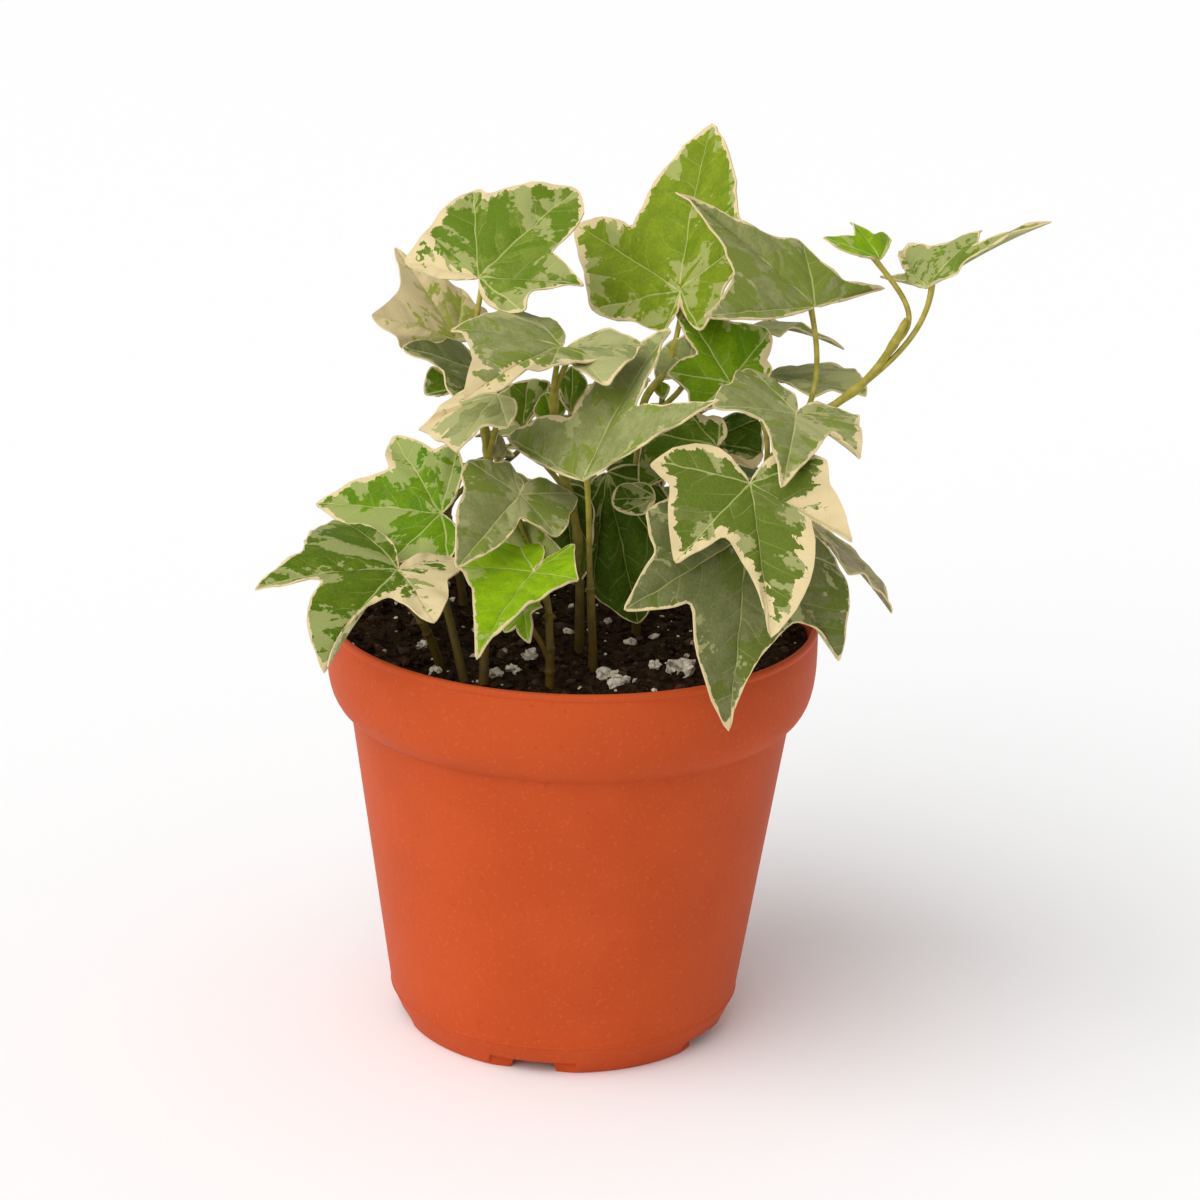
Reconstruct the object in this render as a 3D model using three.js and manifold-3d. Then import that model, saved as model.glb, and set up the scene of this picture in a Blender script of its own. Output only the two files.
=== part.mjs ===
// Variegated ivy growing in a round plastic nursery pot.
// Millimetres, +Z up. The origin is the middle of the pot's underside.
// The front of the plant faces -Y and +X is to its right.

import * as THREE from 'three';
import { mergeVertices } from 'three/addons/utils/BufferGeometryUtils.js';
import Module from 'manifold-3d';

const wasm = await Module();
wasm.setup();

// ---------------------------------------------------------------- driving sizes

// Pot: outer radii and heights from the foot to the lip.
const POT_HEIGHT = 94.2;
const RIM_RADIUS = 54;
const BAND_FOOT_HEIGHT = 73.4;
const BAND_FOOT_RADIUS = 49.7;
const BODY_TOP_RADIUS = 48.7;
const BODY_FOOT_RADIUS = 39.1;
const MOULD_LINE_HEIGHT = 7.2;
const FOOT_RADIUS = 36;
const WALL = 1.4;
const FLOOR_UNDERSIDE = 3;
const FLOOR_THICKNESS = 1.4;
const FOOT_RING_WIDTH = 3.2;
const CENTRE_PAD_RADIUS = 8;
const POT_SEGMENTS = 48;

// Five drain notches in the foot, the first one just left of the front, each with an
// opening through the foot ring and a round drain hole in the floor further in.
const NOTCH_COUNT = 5;
const FIRST_NOTCH_ANGLE = -100;
const NOTCH_WIDTH = 20.5;
const NOTCH_HEIGHT = 3;
const NOTCH_DEPTH = 1.2;
const DRAIN_GAP_TOP = 8;
const DRAIN_GAP_FOOT = 11;
const DRAIN_HOLE_RADIUS = 3.2;
const DRAIN_HOLE_CIRCLE = 26;
const CUT_OVERRUN = 1;

// Soil: a plug that fills the pot to a little under its lip.
const SOIL_TOP = 89;
const SOIL_GAP = 0.3;
const SOIL_ROUGHNESS = 0.9;
const SOIL_RINGS = 5;
const SOIL_SEGMENTS = 30;
const STEM_HOLE_CLEARANCE = 0.35;

// Ivy: blades, petioles and stems.
const BLADE_THICKNESS = 0.8;
const BLADE_FOLD = 6;
const BLADE_DROOP = 0.12;
const SINUS_DEPTH = 0.53;
const SIDE_SINUS_DEPTH = 0.82;
const EDGE_BULGE = 0.1;
const BASE_BULGE = 0.28;
const ARROW_BASE_BULGE = 0.1;
const EDGE_POINTS = 2;
const VEIN_POINT = 0.5;
const PETIOLE_RADIUS = 0.85;
const PETIOLE_SIDES = 5;
const PETIOLE_STEPS = 4;
const PETIOLE_INSET = 1.6;
const PETIOLE_REACH = 0.35;
const PETIOLE_LIFT = 0.6;
const STEM_RADIUS = 1.25;
const STEM_SIDES = 7;
const STEM_STEPS = 6;

// Larger perlite grains that stand out of the soil: [x, y, radius].
const PERLITE = [
  [-29, -28.5, 1.5],
  [-32.5, -12, 1.3],
  [-16, -28.5, 1.5],
  [-12.5, -24.5, 1.4],
  [-9, -17, 1.8],
  [7.5, -28, 1.9],
  [10, -34, 2],
  [13, -4, 1.4],
  [18, -21, 1.5],
  [24, -25, 2.6],
  [-14, 12, 1.7],
  [-30, 30, 1.8],
  [36, 22, 1.9],
];

// Leafy stems. Each has a route up out of the soil and its leaves. A leaf gives
// on: where its petiole leaves the stem, from 0 at the soil end to 1 at the top;
// at: the point where the petiole meets the blade;
// aim: the midrib's compass heading from +X, its rise and the blade's roll, in degrees;
// lobes: each lobe's angle from the midrib and its length, from left to right, followed by the
// angle and length of the sinus on its right where that isn't the usual one;
// and, where they differ from the usual blade, its droop, how far its edges swell (swell, one
// value or one for each edge), how far the two beside the petiole do (base), the central lobe's
// curve to its right (lean), and how far the petiole is bent to the right and upwards (bow).
const STEMS = [
  {
    name: 'ivy_stem_left_edge',
    route: [[-27.5, -21, 80], [-28.5, -22.5, 90], [-32.5, -26, 101]],
    leaves: [
      {
        on: 0.95, at: [-36.5, -38, 115], aim: [-112, -8, -10], droop: 0.24, lean: 0,
        base: [0.25, 0.14], swell: [0.1, 0.1, 0.08, -0.1, 0.16, 0.05, 0.04, 0.1],
        lobes: [
          [-150, 16, -92, 11], [-48, 19.5, -15, 11.5], [0, 33, 40, 17.5], [52, 30, 75, 20.5],
          [130, 27.5],
        ],
      },
      { on: 0.8, at: [-43, -9.5, 110.5], aim: [-146, -2, 0], lobes: usualLobes(21.5) },
    ],
  },
  {
    name: 'ivy_stem_left',
    route: [[-21.5, -31.5, 80], [-23, -31.5, 90], [-27.5, -26, 106]],
    leaves: [
      {
        on: 0.95, at: [-28.5, -15, 120.5], aim: [162, 1, -44], base: [0.28, 0.2],
        swell: [0.03, 0.05, 0.05, 0.05, 0.03, 0.12, 0.05, 0],
        lobes: [[-114, 12], [-60, 16, -36, 15.5], [0, 30, 30, 17], [47, 24, 68, 16], [86, 16.5]],
      },
    ],
  },
  {
    name: 'ivy_stem_tall_left',
    route: [
      [-18.5, -34, 80], [-18.5, -33, 92], [-18.5, -22, 112.5], [-19, -10, 132], [-22, -4, 147],
    ],
    leaves: [
      {
        on: 0.98, at: [-22, 5, 167.5], aim: [34, 39, 26], base: [0.14, 0.28],
        swell: [0.03, 0.08, 0.03, 0.11, 0.24, 0, 0.02, -0.06],
        lobes: [
          [-113, 17.5, -86, 17], [-47, 23.5, -36, 21], [0, 30.5, 32, 17], [59, 23.5, 73, 13.5],
          [93, 14.5],
        ],
      },
      {
        on: 0.9, at: [-27.5, 20, 150], aim: [142, 50, -5],
        swell: [-0.03, 0.1, -0.03, -0.03, -0.03, -0.03, -0.03, -0.03],
        lobes: [
          [-84, 16, -75, 18], [-59, 21.5, -30, 16.8], [0, 25.3, 15, 16], [42, 14.5], [74, 13],
        ],
      },
      {
        on: 0.85, at: [-21.5, 10, 145], aim: [-145, 28, -31],
        lobes: [[-50, 19, -25, 15.5], [0, 21, 20, 12], [70, 9]],
      },
      {
        on: 0.75, at: [-17, -15, 147], aim: [178, -17, -19], droop: 0.18, swell: 0.03,
        lobes: [[-98, 12.5, -70, 12.5], [-57, 18, -38, 17], [0, 18.5, 3, 13.8], [30, 11]],
      },
      {
        on: 0.8, at: [-26.5, 15, 140.5], aim: [-175, -9, -59],
        lobes: [[-16, 4.5, -8, 6], [0, 7.5, 25, 7.5], [50, 7.5]],
      },
      {
        on: 0.55, at: [-12.5, -9, 120.2], aim: [109, 57, -22],
        lobes: [[-39, 11, -22, 8.5], [0, 7.5, 30, 6], [60, 7, 77, 9], [90, 10.5]],
      },
      {
        on: 0.65, at: [-17, -6, 129.5], aim: [78, 77, 23],
        lobes: [[-35, 3, -12, 4.5], [0, 6.5, 16, 4.5], [31, 3.5]],
      },
    ],
  },
  {
    name: 'ivy_stem_front',
    route: [[-4.5, -36, 80], [-4.5, -36, 92], [-5, -36, 106]],
    leaves: [
      {
        on: 0.97, at: [-8.5, -40, 116], aim: [-112, -12, 1], base: [0.1, 0.28], swell: 0,
        lobes: [
          [-165, 14, -115, 9], [-81, 11, -28, 13], [0, 30, 37, 14.5], [80, 16, 112, 15.5],
          [143, 18],
        ],
      },
      {
        on: 0.5, at: [-10, -38, 106.5], aim: [-87, -16, 38],
        lobes: [[-106, 4], [-66, 5], [0, 9.5], [66, 6], [150, 5]],
      },
      {
        on: 0.97, at: [-12, -24, 128], aim: [-110, -10, -36],
        lobes: [[-147, 16], [-72, 12.5, -25, 8.5], [0, 29.5, 36, 16], [72, 13.5], [139, 8]],
      },
      {
        on: 0.7, at: [-5.5, -33, 112], aim: [125, 47, -18],
        lobes: [[-24, 13, -10, 14.5], [0, 15.5, 25, 9.5], [89, 6]],
      },
    ],
  },
  {
    name: 'ivy_stem_middle',
    route: [[1.5, -9.5, 80], [1.5, -9.5, 92], [0.5, -6, 114], [-4, -5, 132], [-5.5, -8, 146]],
    leaves: [
      {
        on: 0.98, at: [-4, -12, 157], aim: [-127, 0, -16], droop: 0.2,
        swell: [0.05, 0.05, 0, 0.2, 0.05, -0.08, -0.06, 0.1],
        lobes: [
          [-104, 9, -62, 8], [-26, 12, -12, 17], [0, 30, 14, 23.5], [53, 23.5, 66, 18.5],
          [113, 16.5],
        ],
      },
      {
        on: 0.95, at: [-3, -9, 156], aim: [-5, 11, 20], base: [0.1, 0.16], swell: 0.04,
        lobes: [[-30, 10.5, -14, 12.5], [0, 16.5, 28, 16], [58, 17.5]],
      },
      {
        on: 0.6, at: [-12, 4, 134.5], aim: [81, 60, 2],
        lobes: [[-50, 9, -25, 10], [0, 11.5, 13, 11.5], [23, 12]],
      },
      {
        on: 0.65, at: [-5.5, -4, 137.5], aim: [113, 58, -19],
        lobes: [[-44, 5, -19, 6.5], [0, 8, 19, 6.5], [46, 5]],
      },
      {
        on: 0.7, at: [-1.5, -3, 140], aim: [91, 60, -1],
        lobes: [[-27, 6.5, -12, 9.5], [0, 11, 12, 9.5], [27, 7.5]],
      },
      {
        on: 0.5, at: [-3, -1, 123.5], aim: [-67, -64, 15],
        lobes: [
          [-51, 7.5, -29, 11], [-15, 15.5, -8, 19.5], [0, 21.5, 9, 20], [20, 18, 32, 13], [48, 7.5],
        ],
      },
    ],
  },
  {
    name: 'ivy_stem_centre',
    route: [[4.5, -23.5, 80], [4.5, -23.5, 92], [3.5, -23.5, 108]],
    leaves: [
      {
        on: 0.98, at: [1.5, -30, 133], aim: [62, 44, -21], base: [0.16, 0.06],
        swell: [0.1, 0.1, 0.09, -0.05],
        lobes: [[-67, 32], [0, 42.5, 21, 19.5], [58, 35]],
      },
    ],
  },
  {
    name: 'ivy_stem_top',
    route: [
      [14, 2, 80], [14, 2, 92], [13.5, 3, 115], [14.2, 5, 141], [16.5, 6, 144.9], [19.2, 8, 147.6],
      [20.8, 11, 153.6],
    ],
    leaves: [
      {
        on: 0.98, at: [21.5, 14, 164], aim: [81, 57, -30], base: [0.15, 0.15],
        swell: [0.07, 0.07, 0.07, 0.05, 0.09, 0.07, 0.1, 0.04, 0.07, 0.07],
        lobes: [
          [-163, 9.5, -122, 12.5], [-96, 23, -76, 26], [-58, 37.5, -40, 21.5], [0, 41, 43, 21.5],
          [62, 19.5, 92, 14.5], [146, 12.5],
        ],
      },
      {
        on: 0.62, at: [32.5, 2, 146.5], aim: [128, 41, -20],
        lobes: [[-108, 11], [-57, 13.8, -20, 9.8], [0, 25.5, 28, 15], [60, 16.5], [100, 9.5]],
      },
      {
        on: 0.5, at: [30, -4, 134], aim: [-177, -28, -51], base: [0.1, 0.28],
        lobes: [[0, 18.5, 21, 17], [41, 16, 58, 13], [76, 10.5, 95, 7], [124, 6.5]],
      },
      {
        on: 0.4, at: [6.5, 3, 125.5], aim: [-58, -65, 36],
        lobes: [
          [-64, 12.5, -43, 18], [-24, 24, -9, 29.5], [0, 33.5, 10, 29.5], [19, 26, 25, 16], [41, 8],
        ],
      },
      {
        on: 0.45, at: [17, -14, 125], aim: [175, -3, -65], base: [0.3, 0.3],
        lobes: [[-25, 7.5, -13, 9], [0, 9.5, 19, 8.5], [33, 6]],
      },
      {
        on: 0.68, at: [24, 6, 147.5], aim: [143, 35, -53],
        lobes: [[-55, 7.5, -27, 8], [0, 9, 25, 8.5], [46, 9]],
      },
      {
        on: 0.58, at: [18.5, 6, 141.5], aim: [120, 63, -27],
        lobes: [[-34, 3, -14, 3.5], [0, 4, 20, 3.5], [36, 3]],
      },
    ],
  },
  {
    name: 'ivy_stem_runner',
    route: [
      [27, -6, 80], [28, -6, 92], [36, -6, 118], [46, -5, 138], [55.5, -5, 144.8],
      [61.3, -5, 149.9], [66.8, -5, 158], [69.2, -5, 163.6],
    ],
    leaves: [
      {
        on: 0.62, at: [50, 0, 164.4], aim: [174, 40, -28], droop: 0.05, base: [0.08, 0.03],
        bow: [1.6, 0], swell: [-0.05, -0.05, -0.03, -0.02, -0.08, -0.05],
        lobes: [[-57, 34, -31, 22.5], [0, 38.5, 17, 19], [50, 16, 97, 11.5], [118, 22]],
      },
      {
        on: 0.94, at: [63.2, 0, 175], aim: [-161, 26, -29], base: [0.02, 0.06], bow: [3, 0],
        swell: [0.05, 0.1, 0.05, 0.05, 0.05, 0.05],
        lobes: [[-24, 4, -20, 9], [0, 14, 30, 7.5], [59, 11.5, 78, 7], [111, 12.5]],
      },
      {
        on: 0.8, at: [73, -4, 170], aim: [10, 35, 2], base: [0, 0], bow: [1.2, 0],
        swell: [0.02, 0.02, 0.06, 0.03, 0.04, 0.02, 0.04, -0.03],
        lobes: [
          [-106, 19, -95, 10.5], [-85, 28.5, -60, 15], [-30, 20.5, -12, 14], [0, 30, 5, 13],
          [20, 7.5],
        ],
      },
      {
        on: 0.5, at: [36.8, 19, 154.7], aim: [0, 8, -3], droop: 0.35, base: [0.05, 0.05],
        swell: 0.04,
        lobes: [[-50, 13.5, -14, 13], [0, 20.5, 18, 10], [50, 10]],
      },
      {
        on: 0.55, at: [42, 18, 144], aim: [-24, 3, 0], base: [0.28, 0.08],
        swell: [0.1, 0.1, 0.1, 0.1, 0.05, 0.05],
        lobes: [[-82, 6.5], [-52, 19, -25, 19.5], [0, 22.5, 25, 21], [39, 18]],
      },
    ],
  },
  {
    name: 'ivy_stem_right',
    route: [[31, -19, 80], [31, -19, 92], [36, -20, 115], [42, -21, 134]],
    leaves: [
      {
        on: 0.98, at: [45.5, -22, 146.5], aim: [-96, -9, -18],
        swell: [0.05, 0.02, 0, 0.04, 0, 0.1, 0.1, 0.1],
        lobes: [
          [-127, 15.5, -102, 14], [-56, 18, -50, 9.5], [0, 29, 36, 12.5], [59, 20.5, 95, 15],
          [141, 18],
        ],
      },
      {
        on: 0.7, at: [35.5, -42, 137], aim: [-80, -40, 4], lean: -0.06, base: [0.28, 0.36],
        swell: [0.05, 0.04, 0.05, 0.1, 0, 0.02, 0.06, 0.1],
        lobes: [
          [-107, 16.5, -81, 16.5], [-51, 24.5, -46, 15.5], [0, 34.5, 28, 15], [45, 25, 87, 17],
          [109, 20.5],
        ],
      },
      {
        on: 0.6, at: [27, 10, 131], aim: [2, -7, 53], base: [0.1, 0.1],
        lobes: [[-52, 9.5, -42, 11.5], [-32, 14.5, -18, 14], [0, 14, 8, 14], [19, 12.5]],
      },
    ],
  },
  {
    name: 'ivy_stem_right_low',
    route: [[33, -27, 80], [33, -27, 92], [35, -28, 108]],
    leaves: [
      {
        on: 0.97, at: [35, -40, 125], aim: [-92, -55, -25], lean: 0.06,
        swell: [0.05, 0.03, -0.16, -0.05, 0.05, 0.05, 0.05, 0.08],
        lobes: [
          [-82, 22, -67, 25.5], [-45, 32.5, -33, 20.5], [0, 40.5, 36, 21], [53, 33, 70, 23],
          [95, 22.5],
        ],
      },
      {
        on: 0.8, at: [49, -12, 121], aim: [-19, -35, -12], base: [0.04, 0.06], swell: 0.04,
        lobes: [[-29, 15.5, -11, 18.5], [0, 27.5, 31, 21], [44, 21]],
      },
    ],
  },
  {
    name: 'ivy_stem_back_left',
    route: [[-24, 18, 80], [-25, 18, 92], [-29, 22, 110]],
    leaves: [
      { on: 0.95, at: [-27, 29, 118], aim: [130, -20, 0], lobes: usualLobes(28) },
      { on: 0.9, at: [-11, 42, 125], aim: [98, -12, 0], lobes: usualLobes(29) },
      { on: 0.7, at: [-35, 14, 112], aim: [168, -22, 0], lobes: usualLobes(25) },
    ],
  },
  {
    name: 'ivy_stem_back',
    route: [[6, 28, 80], [6, 28, 92], [4, 30, 116]],
    leaves: [
      { on: 0.97, at: [1, 42, 134], aim: [105, -16, 0], lobes: usualLobes(30) },
      { on: 0.85, at: [11, 37, 110], aim: [74, -4, 0], lobes: usualLobes(28) },
      { on: 0.7, at: [-2, 21, 127], aim: [162, 4, 0], lobes: usualLobes(22) },
    ],
  },
  {
    name: 'ivy_stem_back_right',
    route: [[30, 20, 80], [30, 20, 92], [34, 22, 112]],
    leaves: [
      { on: 0.95, at: [38, 32, 117], aim: [44, -12, 0], lobes: usualLobes(27) },
      { on: 0.85, at: [29, 33, 130], aim: [60, -20, 0], lobes: usualLobes(27) },
      { on: 0.7, at: [41, 13, 113], aim: [8, -18, 0], lobes: usualLobes(25) },
      {
        on: 0.55, at: [19, 12, 117], aim: [144, 53, -48],
        lobes: [[-34, 14, -17, 15], [0, 15.5, 10, 14.5], [19, 13.5]],
      },
    ],
  },
];

// ---------------------------------------------------------------- solids

// A closed geometry as a solid that can be joined and cut.
function toSolid(geometry) {
  const bare = geometry.clone();
  bare.deleteAttribute('normal');
  bare.deleteAttribute('uv');
  const merged = mergeVertices(bare, 1e-4);
  return new wasm.Manifold(new wasm.Mesh({
    numProp: 3,
    vertProperties: new Float32Array(merged.attributes.position.array),
    triVerts: new Uint32Array(merged.index.array),
  }));
}

// A solid as a geometry for a mesh.
function toGeometry(solid) {
  const mesh = solid.getMesh();
  const geometry = new THREE.BufferGeometry();
  geometry.setAttribute('position', new THREE.BufferAttribute(mesh.vertProperties, 3));
  geometry.setIndex(new THREE.BufferAttribute(mesh.triVerts, 1));
  geometry.computeVertexNormals();
  return geometry;
}

function joinAll(solids) {
  return solids.reduce((joined, solid) => joined.add(solid));
}

function piece(name, solid, colour, roughness) {
  const material = new THREE.MeshStandardMaterial({ color: colour, roughness, metalness: 0 });
  const mesh = new THREE.Mesh(toGeometry(solid), material);
  mesh.name = name;
  return mesh;
}

// A round body turned about Z from a profile of [radius, height] points.
function turned(profile, segments) {
  const points = profile.map(([radius, height]) => new THREE.Vector2(radius, height));
  return new THREE.LatheGeometry(points, segments).rotateX(Math.PI / 2);
}

// A tube of a few flat sides along a curve.
function tube(curve, radius, sides, steps) {
  const section = new THREE.Shape();
  for (let side = 0; side < sides; side += 1) {
    const angle = (side / sides) * 2 * Math.PI;
    const corner = [radius * Math.cos(angle), radius * Math.sin(angle)];
    if (side === 0) section.moveTo(...corner);
    else section.lineTo(...corner);
  }
  section.closePath();
  return new THREE.ExtrudeGeometry(section, { steps, extrudePath: curve, bevelEnabled: false });
}

// ---------------------------------------------------------------- ivy leaf

// Five lobes in the usual proportions of this ivy, for a blade of a given length.
function usualLobes(length) {
  return [[-108, 0.5], [-52, 0.78], [0, 1], [52, 0.78], [108, 0.5]]
    .map(([angle, share]) => [angle, share * length]);
}

// A point of the flat blade: x runs to its right and y along its midrib.
function polar(angle, length) {
  const turn = THREE.MathUtils.degToRad(angle);
  return new THREE.Vector2(length * Math.sin(turn), length * Math.cos(turn));
}

// The points that lie between two corners of the outline, on an edge that swells outwards.
function swollenEdge(from, to, bulge) {
  const along = to.clone().sub(from);
  const outwards = new THREE.Vector2(-along.y, along.x);
  const points = [];
  for (let step = 1; step <= EDGE_POINTS; step += 1) {
    const share = step / (EDGE_POINTS + 1);
    const swell = bulge * 4 * share * (1 - share);
    points.push(from.clone().addScaledVector(along, share).addScaledVector(outwards, swell));
  }
  return points;
}

// The sinus between two neighbouring lobes.
function sinusAfter([leftAngle, leftLength, ownAngle, ownLength], [rightAngle, rightLength]) {
  if (ownLength !== undefined) return polar(ownAngle, ownLength);
  const depth = leftAngle === 0 || rightAngle === 0 ? SINUS_DEPTH : SIDE_SINUS_DEPTH;
  return polar((leftAngle + rightAngle) / 2, depth * Math.sqrt(leftLength * rightLength));
}

// One path for each lobe, from the sinus on its left over its tip to the sinus on its right.
// The outer edges of the two last lobes end at the petiole point, which is the flat origin.
function lobePaths({ lobes, base, swell = EDGE_BULGE, lean = 0 }) {
  const petiolePoint = new THREE.Vector2(0, 0);
  const tips = lobes.map(([angle, length]) => polar(angle, length));
  const sinuses = [petiolePoint];
  for (let i = 0; i + 1 < lobes.length; i += 1) sinuses.push(sinusAfter(lobes[i], lobes[i + 1]));
  sinuses.push(petiolePoint);
  const usualBase = lobes.length > 3 ? BASE_BULGE : ARROW_BASE_BULGE;
  const [leftBase, rightBase] = base ?? [usualBase, usualBase];
  const inner = Array.isArray(swell) ? swell : Array(2 * lobes.length - 2).fill(swell);
  const bulges = [leftBase, ...inner, rightBase];
  return tips.map((tip, i) => {
    const [left, right] = [sinuses[i], sinuses[i + 1]];
    const curve = lobes[i][0] === 0 ? lean : 0;
    const leftEdge = swollenEdge(left, tip, bulges[2 * i] - curve);
    const rightEdge = swollenEdge(tip, right, bulges[2 * i + 1] + curve);
    return [left, ...leftEdge, tip, ...rightEdge, right];
  });
}

// The blade's own directions: along the midrib, to its right, and out of its upper face.
function bladeFrame([heading, rise, roll]) {
  const [turn, lift, tilt] = [heading, rise, roll].map(THREE.MathUtils.degToRad);
  const along = new THREE.Vector3(
    Math.cos(turn) * Math.cos(lift), Math.sin(turn) * Math.cos(lift), Math.sin(lift),
  );
  const level = new THREE.Vector3(Math.sin(turn), -Math.cos(turn), 0);
  const right = level.applyAxisAngle(along, tilt);
  const up = right.clone().cross(along);
  return { along, right, up };
}

// Carries a flat point onto the folded and drooping blade.
function bladePoint(leaf, flat, height) {
  const { along, right, up } = bladeFrame(leaf.aim);
  const length = leaf.lobes.find(([angle]) => angle === 0)[1];
  const fold = THREE.MathUtils.degToRad(BLADE_FOLD);
  const droop = (leaf.droop ?? BLADE_DROOP) * flat.lengthSq() / length;
  return new THREE.Vector3(...leaf.at)
    .addScaledVector(along, flat.y)
    .addScaledVector(right, flat.x * Math.cos(fold))
    .addScaledVector(up, Math.abs(flat.x) * Math.sin(fold) - droop + height);
}

// The blade as a thin plate. Both faces are split into the same triangles: each lobe is a fan
// about a point on its vein, closed towards the petiole point.
function bladeSolid(leaf) {
  const flats = [new THREE.Vector2(0, 0)];
  const faces = [];
  const rim = [0];
  const paths = lobePaths(leaf);
  let left = 0;
  paths.forEach((path, lobe) => {
    const last = lobe === paths.length - 1;
    const vein = flats.push(path[EDGE_POINTS + 1].clone().multiplyScalar(VEIN_POINT)) - 1;
    const corners = [left];
    path.slice(1).forEach((point, i) => {
      const closing = last && i === path.length - 2;
      corners.push(closing ? 0 : flats.push(point) - 1);
    });
    for (let i = 0; i + 1 < corners.length; i += 1) faces.push([vein, corners[i + 1], corners[i]]);
    if (left !== 0) faces.push([0, vein, left]);
    left = corners[corners.length - 1];
    if (!last) faces.push([0, left, vein]);
    rim.push(...corners.slice(1));
  });
  const upper = flats.map((flat) => bladePoint(leaf, flat, BLADE_THICKNESS / 2));
  const lower = flats.map((flat) => bladePoint(leaf, flat, -BLADE_THICKNESS / 2));
  const count = flats.length;
  const triangles = [];
  faces.forEach(([a, b, c]) => triangles.push([a, b, c], [a + count, c + count, b + count]));
  for (let i = 0; i + 1 < rim.length; i += 1) {
    const [a, b] = [rim[i], rim[i + 1]];
    triangles.push([a, b, a + count], [b, b + count, a + count]);
  }
  const geometry = new THREE.BufferGeometry().setFromPoints([...upper, ...lower]);
  geometry.setIndex(triangles.flat());
  return toSolid(geometry);
}

// The petiole leaves its stem upwards and comes into the blade from below.
function petioleSolid(leaf, stemCurve) {
  const { along, up } = bladeFrame(leaf.aim);
  const root = stemCurve.getPointAt(leaf.on);
  const end = bladePoint(leaf, new THREE.Vector2(0, PETIOLE_INSET), 0);
  const reach = root.distanceTo(end) * PETIOLE_REACH;
  const leaving = stemCurve.getTangentAt(leaf.on);
  const halfway = along.clone().add(up).multiplyScalar(0.5);
  const arriving = halfway.add(new THREE.Vector3(0, 0, PETIOLE_LIFT)).normalize();
  const [sideways, upwards] = leaf.bow ?? [0, 0];
  const bow = new THREE.Vector3(sideways, 0, upwards);
  const curve = new THREE.CubicBezierCurve3(
    root,
    root.clone().addScaledVector(leaving, reach).add(bow),
    end.clone().addScaledVector(arriving, -reach).add(bow),
    end,
  );
  return toSolid(tube(curve, PETIOLE_RADIUS, PETIOLE_SIDES, PETIOLE_STEPS));
}

function stemCurve(route) {
  return new THREE.CatmullRomCurve3(route.map((point) => new THREE.Vector3(...point)));
}

function leafyStem({ route, leaves }) {
  const curve = stemCurve(route);
  const parts = [toSolid(tube(curve, STEM_RADIUS, STEM_SIDES, STEM_STEPS))];
  leaves.forEach((leaf) => parts.push(petioleSolid(leaf, curve), bladeSolid(leaf)));
  return joinAll(parts);
}

// ---------------------------------------------------------------- pot

function potBody() {
  const outer = [
    [0, 0],
    [CENTRE_PAD_RADIUS, 0],
    [CENTRE_PAD_RADIUS + 0.6, FLOOR_UNDERSIDE],
    [FOOT_RADIUS - FOOT_RING_WIDTH - 0.4, FLOOR_UNDERSIDE],
    [FOOT_RADIUS - FOOT_RING_WIDTH, 0],
    [FOOT_RADIUS, 0],
    [BODY_FOOT_RADIUS, MOULD_LINE_HEIGHT],
    [BODY_TOP_RADIUS, BAND_FOOT_HEIGHT - 0.7],
    [BAND_FOOT_RADIUS, BAND_FOOT_HEIGHT],
    [BAND_FOOT_RADIUS + 2.1, BAND_FOOT_HEIGHT + 2.2],
    [BAND_FOOT_RADIUS + 3.6, BAND_FOOT_HEIGHT + 6],
    [RIM_RADIUS, BAND_FOOT_HEIGHT + 11],
    [RIM_RADIUS, POT_HEIGHT - 0.9],
    [RIM_RADIUS - 0.5, POT_HEIGHT],
  ];
  const inner = [
    [RIM_RADIUS - WALL, POT_HEIGHT - 0.2],
    [RIM_RADIUS - WALL - 0.4, BAND_FOOT_HEIGHT + 11],
    [BAND_FOOT_RADIUS + 3 - WALL, BAND_FOOT_HEIGHT + 6.4],
    [BAND_FOOT_RADIUS - WALL, BAND_FOOT_HEIGHT + 1],
    [BODY_TOP_RADIUS - WALL, BAND_FOOT_HEIGHT - 2],
    [BODY_FOOT_RADIUS - WALL, MOULD_LINE_HEIGHT],
    [BODY_FOOT_RADIUS - WALL - 1.2, FLOOR_UNDERSIDE + FLOOR_THICKNESS],
    [0, FLOOR_UNDERSIDE + FLOOR_THICKNESS],
  ];
  return toSolid(turned([...outer, ...inner], POT_SEGMENTS));
}

// A block as high as a notch that cuts the foot from a radius outwards.
function footCut(widthFoot, widthTop, from, angle) {
  const section = new THREE.Shape();
  section.moveTo(-widthFoot / 2, -CUT_OVERRUN);
  section.lineTo(widthFoot / 2, -CUT_OVERRUN);
  section.lineTo(widthTop / 2, NOTCH_HEIGHT);
  section.lineTo(-widthTop / 2, NOTCH_HEIGHT);
  section.closePath();
  const depth = BODY_FOOT_RADIUS + CUT_OVERRUN - from;
  const block = new THREE.ExtrudeGeometry(section, { depth, bevelEnabled: false });
  block.rotateX(Math.PI / 2).rotateZ(Math.PI / 2).translate(from, 0, 0);
  return toSolid(block.rotateZ(THREE.MathUtils.degToRad(angle)));
}

function drainHole(angle) {
  const depth = 3 * FLOOR_THICKNESS;
  const hole = new THREE.CylinderGeometry(DRAIN_HOLE_RADIUS, DRAIN_HOLE_RADIUS, depth, 12);
  hole.rotateX(Math.PI / 2).translate(DRAIN_HOLE_CIRCLE, 0, FLOOR_UNDERSIDE + FLOOR_THICKNESS / 2);
  return toSolid(hole.rotateZ(THREE.MathUtils.degToRad(angle)));
}

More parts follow.
